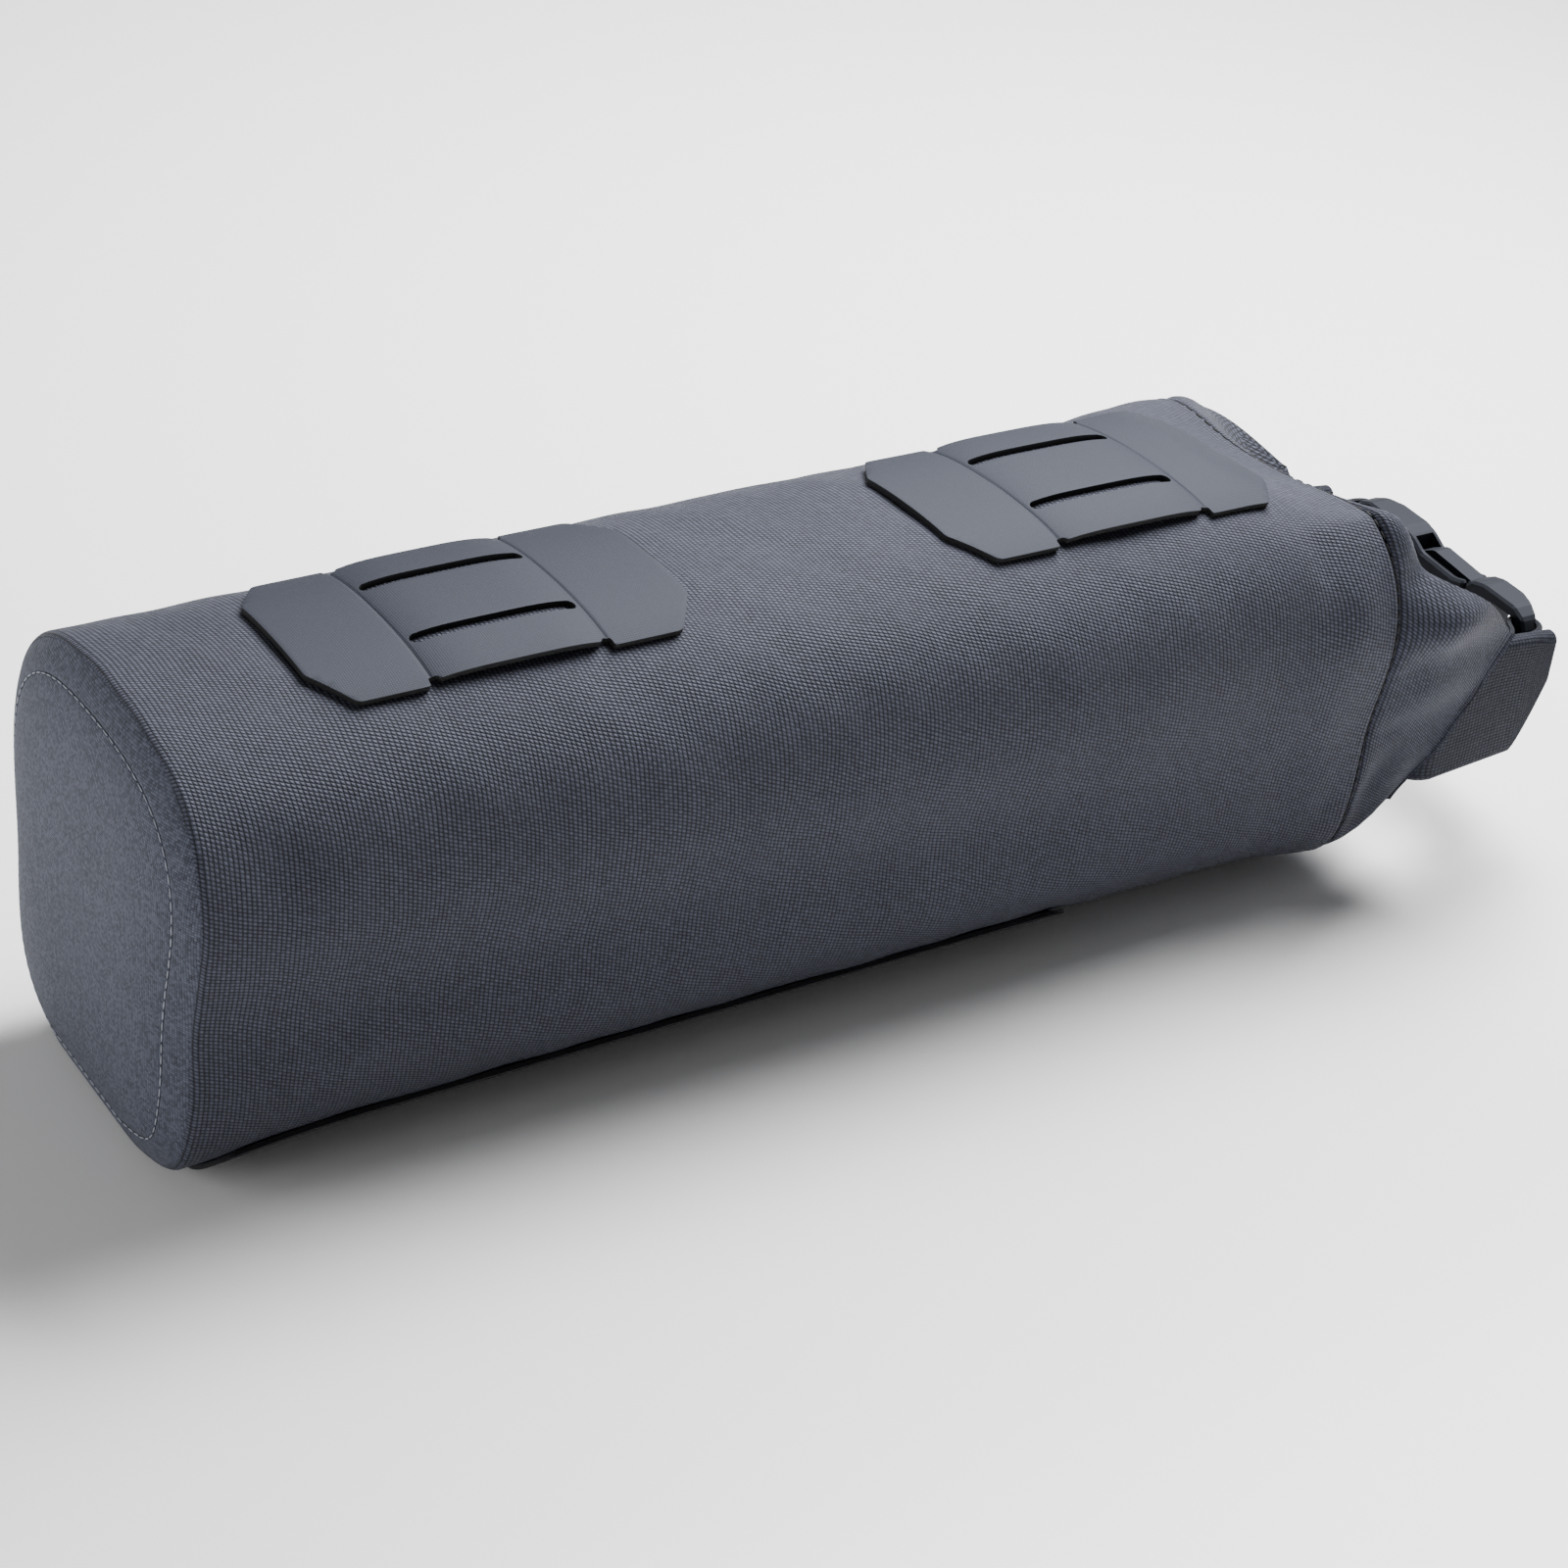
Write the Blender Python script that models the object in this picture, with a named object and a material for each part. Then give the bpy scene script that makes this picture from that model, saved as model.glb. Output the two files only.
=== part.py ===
"""Roll-top downtube bag for a bicycle: fabric tube, fastening plates, rolled closure with buckle.

The bag lies on its underside panel. While it is modelled, X runs from the flat end to the closure,
Y runs across with the near side at -Y, and Z runs up from the underside of the fabric tube. At the
end every piece is shifted by the same amount, so that the origin is below the middle of the bag.
"""
import math

import bmesh
import bpy
import numpy as np

MM = 0.001

# Fabric tube
TUBE_LENGTH = 277.5 * MM
TUBE_WIDTH = 86.8 * MM
TUBE_HEIGHT = 98.0 * MM
CLOTH = 1.5 * MM
SEAM_LEAN = 0.11
SAG_DEPTH = 9.0 * MM
SAG_LENGTH = 30.0 * MM

# End face
HEM_DEPTH = 7.2 * MM
HEM_EDGE = 1.0 * MM
END_BULGE = 6.0 * MM
BULGE_POWER = 5
DISC_THICKNESS = 1.5 * MM
DISC_OVERLAP = 3.5 * MM
DISC_MARGIN = 1.2 * MM

# Underside panel
PANEL_LENGTH = 205.0 * MM
PANEL_START = 5.0 * MM
PANEL_GIRTH = 76.0 * MM
PANEL_THICKNESS = 1.0 * MM
PANEL_CORNER = 9.0 * MM

# Fastening plates
PLATE_LENGTH = 83.2 * MM
PLATE_GIRTH = 45.0 * MM
PLATE_THICKNESS = 1.3 * MM
PLATE_CENTRE = 74.5 * MM
PLATE_PITCH = 144.4 * MM
CORNER_LENGTH = 6.6 * MM
CORNER_GIRTH = 9.4 * MM
BRIDGE_LENGTH = 37.6 * MM
BRIDGE_GIRTH = 42.8 * MM
BRIDGE_LIFT = 1.2 * MM
SLOT_WIDTH = 2.8 * MM
SLOT_PITCH = 20.2 * MM
SLOT_END = 0.8 * MM

# Collar and rolled closure
COLLAR_LENGTH = 21.5 * MM
COLLAR_NARROWING = 2.4 * MM
MOUTH_TAPER = 3.2 * MM
EAR_TOP_REACH = 20.0 * MM
EAR_BOTTOM_REACH = -4.0 * MM
ROLL_HEIGHT = 35.0 * MM
ROLL_THICKNESS = 8.0 * MM
ROLL_LEVEL = 0.405
TAIL_LENGTH = 35.3 * MM
FAR_TAIL_SHORTER = 6.0 * MM
TAIL_TIP_HEIGHT = 29.5 * MM
TAIL_THICKNESS = 4.4 * MM
TAIL_CORNER_LENGTH = 7.0 * MM
TAIL_CORNER_HEIGHT = 16.0 * MM
TAIL_BEND = 6.0 * MM
ROLL_EDGE = 1.2 * MM

# Webbing and side-release buckle
WEBBING_WIDTH = 25.0 * MM
WEBBING_THICKNESS = 1.4 * MM
WEBBING_LAP = 15.0 * MM
WEBBING_EDGE = 0.3 * MM
BUCKLE_LENGTH = 62.0 * MM
BUCKLE_WIDTH = 31.0 * MM
BUCKLE_THICKNESS = 8.0 * MM
BUCKLE_EDGE = 0.6 * MM
BUCKLE_BAR = 4.0 * MM
BAR_THICKNESS = 3.6 * MM
BAR_SET_BACK = 2.0 * MM
END_SLOPE = 11.0 * MM
BUCKLE_WINDOW = 8.6 * MM
BUCKLE_RAIL = 2.6 * MM
BUCKLE_AHEAD = 1.2 * MM
BUCKLE_CORNER = 5.0 * MM
PLUG_BODY = 20.5 * MM
PLUG_THICKNESS = 7.2 * MM
ARM_LENGTH = 20.0 * MM
ARM_WIDTH = 5.0 * MM
ARM_THICKNESS = 4.4 * MM
ARM_STEP = 2.2 * MM
ARM_TIP = 6.0 * MM
ARM_ROOT = 2.5 * MM
SOCKET_SKIN = 1.4 * MM
SOCKET_FLARE = 3.5 * MM

# Clearances
GAP = 0.3 * MM
SLIDE = 0.4 * MM
SOCKET_CLEAR = 1.2 * MM

# Mesh fineness
CORNER_STEPS = (0, 30, 60, 90)
AROUND_STEPS = 48
LENGTH_STEPS = 16
CLOSING_STEPS = 6
DENSE_STEPS = 1440

# Cross-section of the tube: cosine waves on a circle, wave number and share of the mean radius
SECTION_WAVES = (
    (1, 0.082),
    (2, 0.081),
    (4, -0.069),
)
REST_FLAT = 0.008

# Sections along the tube: share of the length, share of the width, share of the height
TUBE_SECTIONS = (
    (0.00, 1.000, 1.000),
    (0.30, 1.002, 1.002),
    (0.65, 1.000, 1.000),
    (1.00, 0.990, 0.992),
)

# Dents in the tube: share of the length, share of the girth, depth, reach along, reach round;
# the girth runs from the underside over the near side (0.25), the top (0.5) and the far side (0.75),
# depth is a share of the width and stands out where it is negative, reach along is a share of the
# length and reach round a share of the girth
TUBE_DENTS = (
    (0.00, 0.115, -0.020, 0.080, 0.030),
    (0.00, 0.755, -0.012, 0.080, 0.050),
    (0.75, 0.108, 0.020, 0.550, 0.050),
    (0.985, 0.612, -0.052, 0.075, 0.040),
    (1.00, 0.118, -0.030, 0.050, 0.035),
    (0.05, 0.34, 0.012, 0.035, 0.030),
    (0.07, 0.20, 0.008, 0.045, 0.035),
    (0.22, 0.26, 0.006, 0.090, 0.060),
    (0.88, 0.30, 0.016, 0.060, 0.050),
    (0.93, 0.18, 0.012, 0.040, 0.030),
    (0.90, 0.72, 0.014, 0.060, 0.050),
)

# Folds in the collar: girth share at the seam and at the roll, height out of the face as a share
# of the tube's width, reach round as a share of the girth
COLLAR_FOLDS = (
    (0.620, 0.640, 0.065, 0.040),
    (0.305, 0.335, -0.055, 0.030),
    (0.245, 0.300, 0.030, 0.030),
    (0.165, 0.215, -0.025, 0.025),
    (0.695, 0.665, -0.055, 0.030),
    (0.755, 0.700, 0.030, 0.030),
    (0.835, 0.785, -0.025, 0.025),
)

# Places of the tube's corners and the roll's corners as shares of their girths
TUBE_CORNERS = (0.0, 0.123, 0.363, 0.5, 0.637, 0.877, 1.0)
ROLL_CORNERS = (0.0, 0.177, 0.323, 0.5, 0.677, 0.823, 1.0)

# Colours, roughness
SLATE_CLOTH = ((0.085, 0.093, 0.112), 0.85)
END_CLOTH = ((0.105, 0.113, 0.133), 0.90)
PLATE_RUBBER = ((0.090, 0.098, 0.115), 0.60)
PANEL_RUBBER = ((0.030, 0.032, 0.038), 0.65)
WEBBING_BLACK = ((0.020, 0.021, 0.025), 0.80)
BUCKLE_GREY = ((0.110, 0.115, 0.130), 0.45)


def clear_scene():
    """Remove every object that the scene holds."""
    for old in list(bpy.data.objects):
        bpy.data.objects.remove(old, do_unlink=True)


def material(name, finish):
    """A plain Principled material from a colour and a roughness."""
    colour, roughness = finish
    made = bpy.data.materials.new(name)
    made.use_nodes = True
    shader = made.node_tree.nodes["Principled BSDF"]
    shader.inputs["Base Color"].default_value = (*colour, 1.0)
    shader.inputs["Roughness"].default_value = roughness
    shader.inputs["Metallic"].default_value = 0.0
    return made


def smooth_step(value, low, high):
    """0 below low, 1 above high, and a smooth rise between."""
    share = np.clip((value - low) / (high - low), 0.0, 1.0)
    return share * share * (3.0 - 2.0 * share)


def dense_section():
    """Dense outline of the tube's section from the bottom centre over the near side.

    Returns the girth shares, the half-width shares, the height shares, the outward normals and
    the girth.
    """
    angle = np.linspace(-math.pi, math.pi, DENSE_STEPS + 1)
    radius = np.ones_like(angle)
    for wave, share in SECTION_WAVES:
        radius = radius + share * np.cos(wave * angle)
    across = radius * np.sin(angle)
    across = across / np.abs(across).max()
    up = radius * np.cos(angle)
    up = (up - up.min()) / (up.max() - up.min())
    up = (np.maximum(up, REST_FLAT) - REST_FLAT) / (1.0 - REST_FLAT)
    y = across * TUBE_WIDTH / 2
    z = up * TUBE_HEIGHT
    steps = np.hypot(np.diff(y), np.diff(z))
    length = np.concatenate([[0.0], np.cumsum(steps)])
    along_y = np.gradient(y, length)
    along_z = np.gradient(z, length)
    size = np.hypot(along_y, along_z)
    return length / length[-1], across, up, -along_z / size, along_y / size, length[-1]


SHARES, ACROSS, UP, NORMAL_Y, NORMAL_Z, GIRTH = dense_section()


def tube_surface(x, around, lift=0.0):
    """Points on the tube at a distance from the flat end, at shares of the girth.

    lift moves them out of the fabric's outer face, or into the tube where it is negative.
    """
    around = np.asarray(around) % 1.0
    out_y = np.interp(around, SHARES, NORMAL_Y)
    out_z = np.interp(around, SHARES, NORMAL_Z)
    along = x / TUBE_LENGTH
    stations = [row[0] for row in TUBE_SECTIONS]
    wide = np.interp(along, stations, [row[1] for row in TUBE_SECTIONS])
    tall = np.interp(along, stations, [row[2] for row in TUBE_SECTIONS])
    up = np.interp(around, SHARES, UP)
    across = np.interp(around, SHARES, ACROSS)
    dent = np.zeros_like(around)
    for place, side, depth, reach, spread in TUBE_DENTS:
        bump = np.exp(-((along - place) / reach) ** 2 - ((around - side) / spread) ** 2)
        dent = dent + depth * TUBE_WIDTH * bump
    y = across * wide * TUBE_WIDTH / 2 + (lift - dent) * out_y
    z = up * tall * TUBE_HEIGHT + (lift - dent) * out_z
    sag = SAG_DEPTH * smooth_step(x, TUBE_LENGTH - SAG_LENGTH, TUBE_LENGTH)
    hollow = np.clip(1.0 - (across - 0.12) ** 2 / 0.64, 0.0, 1.0)
    z = z - sag * hollow * smooth_step(up, 0.6, 0.95)
    lean = SEAM_LEAN * smooth_step(along, 0.0, 1.0)
    return np.stack([x - lean * y, y, z], axis=-1)


def even_shares(count):
    """Evenly spaced shares of the girth, from the underside round."""
    return np.arange(count) / count


def add_object(name, mesh_data, finish, smooth_angle=40.0):
    """Link a mesh as one named object with its own material, faces turned outwards."""
    bmesh.ops.recalc_face_normals(mesh_data, faces=mesh_data.faces)
    if mesh_data.calc_volume(signed=True) < 0:
        bmesh.ops.reverse_faces(mesh_data, faces=mesh_data.faces)
    mesh = bpy.data.meshes.new(name)
    mesh_data.to_mesh(mesh)
    mesh_data.free()
    mesh.shade_smooth()
    mesh.set_sharp_from_angle(angle=math.radians(smooth_angle))
    made = bpy.data.objects.new(name, mesh)
    bpy.context.collection.objects.link(made)
    mesh.materials.append(material(name, finish))
    return made


def loft(loops, joined=False, capped=False):
    """Skin closed loops of equal length, and join the last to the first or cap both ends."""
    shell = bmesh.new()
    rings = [[shell.verts.new(point) for point in loop] for loop in loops]
    pairs = list(zip(rings, rings[1:]))
    if joined:
        pairs.append((rings[-1], rings[0]))
    for ring, following in pairs:
        count = len(ring)
        for i in range(count):
            j = (i + 1) % count
            shell.faces.new((ring[i], ring[j], following[j], following[i]))
    if capped:
        shell.faces.new(rings[0])
        shell.faces.new(rings[-1])
    return shell


def bulge(inset):
    """How far the end face stands out at an inset from the tube's outline."""
    return END_BULGE * (1.0 - (1.0 - 2.0 * inset / TUBE_WIDTH) ** BULGE_POWER)


def hem_loop(inset, depth):
    """A loop of the hem at an inset from the outline and a depth below the end face."""
    return tube_surface(depth - bulge(inset), even_shares(AROUND_STEPS), -inset)


def make_tube():
    """The hollow fabric tube with its hem folded in round the end face."""
    around = even_shares(AROUND_STEPS)
    corner = [math.radians(angle) for angle in CORNER_STEPS]
    edge = [(HEM_EDGE * (1 - math.sin(a)), HEM_EDGE * (1 - math.cos(a))) for a in corner]
    loops = [hem_loop(HEM_DEPTH, CLOTH)]
    loops += [hem_loop(HEM_DEPTH * share, 0.0) for share in (1.0, 0.7, 0.4)]
    loops += [hem_loop(inset, depth) for depth, inset in reversed(edge)]
    stations = np.linspace(HEM_EDGE, TUBE_LENGTH - SAG_LENGTH, LENGTH_STEPS)[1:]
    closing = np.linspace(TUBE_LENGTH - SAG_LENGTH, TUBE_LENGTH, CLOSING_STEPS)[1:]
    outside = list(stations) + list(closing)
    loops += [tube_surface(x, around) for x in outside]
    loops += [tube_surface(x, around, -CLOTH) for x in reversed(outside)]
    loops.append(hem_loop(CLOTH + HEM_EDGE / 2, CLOTH))
    loops.append(hem_loop((CLOTH + HEM_DEPTH) / 2, CLOTH))
    return add_object("body_tube", loft(loops, joined=True), SLATE_CLOTH)


def disc_loop(inset, depth):
    """A loop of the end disc: the section shrunk by an inset, at a depth below the end face."""
    rim = tube_surface(0.0, even_shares(AROUND_STEPS))
    middle = np.array([0.0, 0.0, TUBE_HEIGHT / 2])
    share = 1.0 - 2.0 * inset / TUBE_WIDTH
    loop = middle + (rim - middle) * share
    loop[:, 0] = depth - bulge(inset)
    return loop


def make_end_disc():
    """The stiff end face, behind the hem at its edge and level with it inside."""
    back = CLOTH + GAP
    start = HEM_DEPTH + DISC_MARGIN / 2
    half = TUBE_WIDTH / 2
    front = [(DISC_OVERLAP, back), (start, back), (start + DISC_MARGIN, 0.0)]
    front += [(start + (half - start) * share, 0.0) for share in (0.14, 0.3, 0.5, 0.78)]
    rear = [(inset, depth + DISC_THICKNESS) for inset, depth in front]
    loops = [disc_loop(inset, depth) for inset, depth in rear[::-1] + front]
    return add_object("end_disc", loft(loops, capped=True), END_CLOTH)


def sheet_solid(columns, bottom_lift, top_lift, holes=()):
    """A sheet on the tube from columns of (x, girth shares), with square holes left open.

    bottom_lift and top_lift give the height of each face above the fabric for a column's x.
    holes holds the (column, row) cells to leave out.
    """
    shell = bmesh.new()
    faces = []
    for lift in (bottom_lift, top_lift):
        grid = []
        for x, around in columns:
            points = tube_surface(x, around, lift(x))
            grid.append([shell.verts.new(point) for point in points])
        faces.append(grid)
    low, high = faces
    edges = {}
    for i in range(len(columns) - 1):
        for j in range(len(columns[0][1]) - 1):
            if (i, j) in holes:
                continue
            corners = [(i, j), (i + 1, j), (i + 1, j + 1), (i, j + 1)]
            shell.faces.new([high[a][b] for a, b in corners])
            shell.faces.new([low[a][b] for a, b in reversed(corners)])
            for start, end in zip(corners, corners[1:] + corners[:1]):
                key = tuple(sorted((start, end)))
                edges.setdefault(key, []).append((start, end))
    for runs in edges.values():
        if len(runs) == 1:
            (a, b), (c, d) = runs[0]
            shell.faces.new((high[c][d], high[a][b], low[a][b], low[c][d]))
    return shell


def make_underside_panel():
    """The smooth panel under the tube, with rounded corners."""
    half = PANEL_GIRTH / 2
    rows = np.linspace(-1.0, 1.0, 15)
    ends = [1.0 - math.cos(math.radians(angle)) for angle in CORNER_STEPS]
    sides = [1.0 - math.sin(math.radians(angle)) for angle in CORNER_STEPS]
    outline = [(PANEL_CORNER * end, half - PANEL_CORNER * side) for end, side in zip(ends, sides)]
    middle = np.linspace(PANEL_CORNER, PANEL_LENGTH - PANEL_CORNER, 6)[1:-1]
    stations = outline + [(x, half) for x in middle]
    stations += [(PANEL_LENGTH - x, reach) for x, reach in reversed(outline)]
    columns = [(PANEL_START + x, rows * reach / GIRTH) for x, reach in stations]
    shell = sheet_solid(columns, lambda x: GAP, lambda x: GAP + PANEL_THICKNESS)
    return add_object("underside_panel", shell, PANEL_RUBBER)


def plate_columns(centre):
    """Columns and slot cells of a fastening plate whose middle is at centre."""
    slot_low = SLOT_PITCH / 2 - SLOT_WIDTH / 2
    slot_high = SLOT_PITCH / 2 + SLOT_WIDTH / 2
    bridge_half = BRIDGE_GIRTH / 2
    plate_half = PLATE_GIRTH / 2
    inner = [0.0, slot_low / 2, slot_low, slot_high]
    bridge = inner + [(slot_high + bridge_half) / 2, bridge_half]
    pad = inner + [(slot_high + plate_half) / 2, plate_half]
    tip_half = plate_half - CORNER_GIRTH
    half_length = PLATE_LENGTH / 2
    half_bridge = BRIDGE_LENGTH / 2
    slot_end = half_bridge - SLOT_END
    step = PLATE_THICKNESS / 2
    marks = [
        (half_length, pad, tip_half / plate_half),
        (half_length - CORNER_LENGTH * 0.5, pad, 1 - CORNER_GIRTH * 0.42 / plate_half),
        (half_length - CORNER_LENGTH, pad, 1.0),
        ((half_length - CORNER_LENGTH + half_bridge) / 2, pad, 1.0),
        (half_bridge + step, pad, 1.0),
        (half_bridge, bridge, 1.0),
        (slot_end, bridge, 1.0),
        (slot_end / 2, bridge, 1.0),
    ]
    columns = []
    for sign in (-1, 1):
        side = []
        for x, rows, share in marks:
            rows = np.array([-row for row in rows[:0:-1]] + rows) * share
            side.append((centre + sign * x, 0.5 + rows / GIRTH))
        columns += side if sign < 0 else [(centre, side[-1][1])] + side[::-1]
    row_count = 2 * (len(pad) - 1)
    slot_rows = (row_count // 2 + 2, row_count // 2 - 3)
    first = len(marks) - 2
    slot_columns = range(first, len(columns) - 1 - first)
    return columns, {(i, j) for i in slot_columns for j in slot_rows}


def make_plate(name, centre):
    """A fastening plate: two pads on the tube and a lifted bridge with two strap slots."""
    columns, holes = plate_columns(centre)

    def lift(x):
        share = abs(x - centre) / (BRIDGE_LENGTH / 2)
        return GAP + BRIDGE_LIFT * max(0.0, 1.0 - share ** 4)

    shell = sheet_solid(columns, lift, lambda x: lift(x) + PLATE_THICKNESS, holes)
    return add_object(name, shell, PLATE_RUBBER)


def roll_middle():
    """Height of the roll's middle above the underside of the tube."""
    return ROLL_LEVEL * TUBE_HEIGHT


def collar_half_width():
    """Half the outer width of the collar where it holds the roll."""
    return TUBE_WIDTH / 2 - COLLAR_NARROWING


def rectangle_point(share, half_width, half_height):
    """A point on a rectangle at a share of its girth by corners, from the bottom centre."""
    share = share % 1.0
    corners = [
        (0.0, -1.0),
        (-1.0, -1.0),
        (-1.0, 1.0),
        (0.0, 1.0),
        (1.0, 1.0),
        (1.0, -1.0),
        (0.0, -1.0),
    ]
    places = list(ROLL_CORNERS)
    across = np.interp(share, places, [corner[0] for corner in corners])
    up = np.interp(share, places, [corner[1] for corner in corners])
    return across * half_width, up * half_height


def collar_shares():
    """Shares of the girth for the collar's loops, with a point at each corner."""
    shares = []
    for low, high in zip(TUBE_CORNERS, TUBE_CORNERS[1:]):
        count = max(2, round((high - low) * AROUND_STEPS))
        shares += list(np.linspace(low, high, count, endpoint=False))
    return shares


def collar_loop(share, inset):
    """A loop of the collar between the seam (share 0) and the roll (share 1)."""
    around = collar_shares()
    seam = tube_surface(TUBE_LENGTH + GAP, around, -inset)
    half_width = collar_half_width() - inset
    half_height = ROLL_HEIGHT / 2 + SLIDE + CLOTH - inset
    loop = []
    for i, place in enumerate(around):
        target = np.interp(place, TUBE_CORNERS, ROLL_CORNERS)
        y, rise = rectangle_point(target, half_width, half_height)
        side = (abs(y) / half_width) ** 6
        height = (rise / half_height + 1.0) / 2
        y -= y / half_width * MOUTH_TAPER * (1.0 - smooth_step(height, 0.0, 0.4))
        ear = EAR_BOTTOM_REACH + (EAR_TOP_REACH - EAR_BOTTOM_REACH) * height
        end = np.array([TUBE_LENGTH + COLLAR_LENGTH + side * ear, y, roll_middle() + rise])
        lag = 1.10 + 0.20 * height - 0.25 * math.exp(-((place - 0.5) / 0.06) ** 2)
        pace = np.array([share, share ** lag, share ** lag])
        point = seam[i] + (end - seam[i]) * pace
        swell = math.sin(math.pi * share) ** 1.2
        room = smooth_step(roll_place() - ROLL_THICKNESS / 2 - point[0], 0.0, COLLAR_LENGTH / 2)
        for start, finish, height_out, spread in COLLAR_FOLDS:
            line = start + (finish - start) * share
            amount = height_out * TUBE_WIDTH * swell * (room if height_out < 0 else 1.0)
            out = amount * math.exp(-((place - line) / spread) ** 2)
            point[1] += out * np.interp(place, SHARES, NORMAL_Y)
            point[2] += out * np.interp(place, SHARES, NORMAL_Z)
        loop.append(point)
    return loop


def make_collar():
    """The hollow collar that narrows from the seam to the roll, with its two folded ears."""
    shares = np.linspace(0.0, 1.0, 10)
    loops = [collar_loop(share, 0.0) for share in shares]
    loops += [collar_loop(share, CLOTH) for share in reversed(shares)]
    return add_object("collar", loft(loops, joined=True), SLATE_CLOTH)


def ribbon(path, thicknesses, low, high, rounding=0.0):
    """A strip along a path seen from above, low to high in Z, with a thickness for each point."""
    path = np.asarray(path)
    ahead = np.gradient(path, axis=0)
    ahead = ahead / np.linalg.norm(ahead, axis=1)[:, None]
    aside = np.stack([-ahead[:, 1], ahead[:, 0]], axis=1)
    loops = []
    for point, normal, thickness, bottom, top in zip(path, aside, thicknesses, low, high):
        half = thickness / 2
        lip = min(rounding, half * 0.8)
        profile = [
            (-half, bottom + lip),
            (-half + lip, bottom),
            (half - lip, bottom),
            (half, bottom + lip),
            (half, top - lip),
            (half - lip, top),
            (-half + lip, top),
            (-half, top - lip),
        ]
        loops.append([(*(point + normal * offset), z) for offset, z in profile])
    return loft(loops, capped=True)


def roll_half_width():
    """Half the width of the roll between the collar's walls."""
    return collar_half_width() - CLOTH - SLIDE


def roll_place():
    """X of the roll's middle line."""
    return TUBE_LENGTH + COLLAR_LENGTH + ROLL_THICKNESS / 8


def tail_tip(side):
    """X of the tip of the near tail (-1) or the far tail (1)."""
    return roll_place() + TAIL_LENGTH - (FAR_TAIL_SHORTER if side > 0 else 0.0)


def half_roll(side):
    """One half of the roll's path from a tail's tip to the middle: x, y, bottom and top."""
    tail_line = roll_half_width() - TAIL_THICKNESS / 2
    x = roll_place()
    tip = tail_tip(side)
    slope_start = tip - TAIL_CORNER_LENGTH
    path = [(tip, tail_line), (tip - TAIL_CORNER_LENGTH / 2, tail_line), (slope_start, tail_line)]
    path.append(((slope_start + x + TAIL_BEND) / 2, tail_line))
    for turn in (0, 22.5, 45, 67.5, 90):
        a = math.radians(turn)
        path.append((x + TAIL_BEND * (1 - math.sin(a)), tail_line - TAIL_BEND * (1 - math.cos(a))))
    path += [(x, y) for y in np.linspace(tail_line - TAIL_BEND, 0.0, 5)[1:]]
    rows = []
    for px, py in path:
        taper = max(0.0, (px - x - TAIL_BEND) / (tip - x - TAIL_BEND))
        half_height = (ROLL_HEIGHT + (TAIL_TIP_HEIGHT - ROLL_HEIGHT) * taper) / 2
        cut = TAIL_CORNER_HEIGHT * max(0.0, (px - slope_start) / TAIL_CORNER_LENGTH)
        low = roll_middle() - half_height + cut
        rows.append((px, py * side, low, roll_middle() + half_height))
    return rows


def make_roll():
    """The rolled strip with both tails bent towards the buckle."""
    rows = half_roll(1) + half_roll(-1)[-2::-1]
    path = [(px, py) for px, py, bottom, top in rows]
    low = [row[2] for row in rows]
    high = [row[3] for row in rows]
    tail_line = roll_half_width() - TAIL_THICKNESS / 2
    bulk = [smooth_step(tail_line - abs(py), TAIL_BEND * 0.6, TAIL_BEND * 3) for px, py in path]
    thick = [TAIL_THICKNESS + (ROLL_THICKNESS - TAIL_THICKNESS) * share for share in bulk]
    shell = ribbon(path, thick, low, high, rounding=ROLL_EDGE)
    return add_object("closure_roll", shell, SLATE_CLOTH)


def buckle_place():
    """X of the buckle's middle plane."""
    return roll_place() + TAIL_LENGTH + BUCKLE_AHEAD


def make_webbing(name, side):
    """A webbing strap folded round a buckle bar, its two plies lying on a tail's inner face."""
    corner = math.hypot(BUCKLE_BAR / 2, BAR_THICKNESS / 2)
    radius = corner + GAP + WEBBING_THICKNESS / 2
    bar_x = buckle_place() - BAR_SET_BACK
    bar_y = BUCKLE_LENGTH / 2 - BUCKLE_BAR / 2
    first = roll_half_width() - TAIL_THICKNESS - GAP - WEBBING_THICKNESS / 2
    second = first - WEBBING_THICKNESS - GAP
    leave = tail_tip(side) - TAIL_CORNER_LENGTH
    start = leave - WEBBING_LAP
    path = [(start, first), ((start + leave) / 2, first), (leave, first)]
    outer_angle = math.radians(88)
    inner_angle = math.radians(-182)
    for share in np.linspace(0.0, 1.0, 13):
        angle = outer_angle + (inner_angle - outer_angle) * share
        path.append((bar_x + radius * math.cos(angle), bar_y + radius * math.sin(angle)))
    path += [(leave, second), ((start + leave) / 2, second), (start + GAP, second)]
    path = np.array([(px, py * side) for px, py in path])
    bottom = roll_middle() - WEBBING_WIDTH / 2
    count = len(path)
    shell = ribbon(
        path,
        [WEBBING_THICKNESS] * count,
        [bottom] * count,
        [bottom + WEBBING_WIDTH] * count,
        rounding=WEBBING_EDGE,
    )
    return add_object(name, shell, WEBBING_BLACK)


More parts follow.
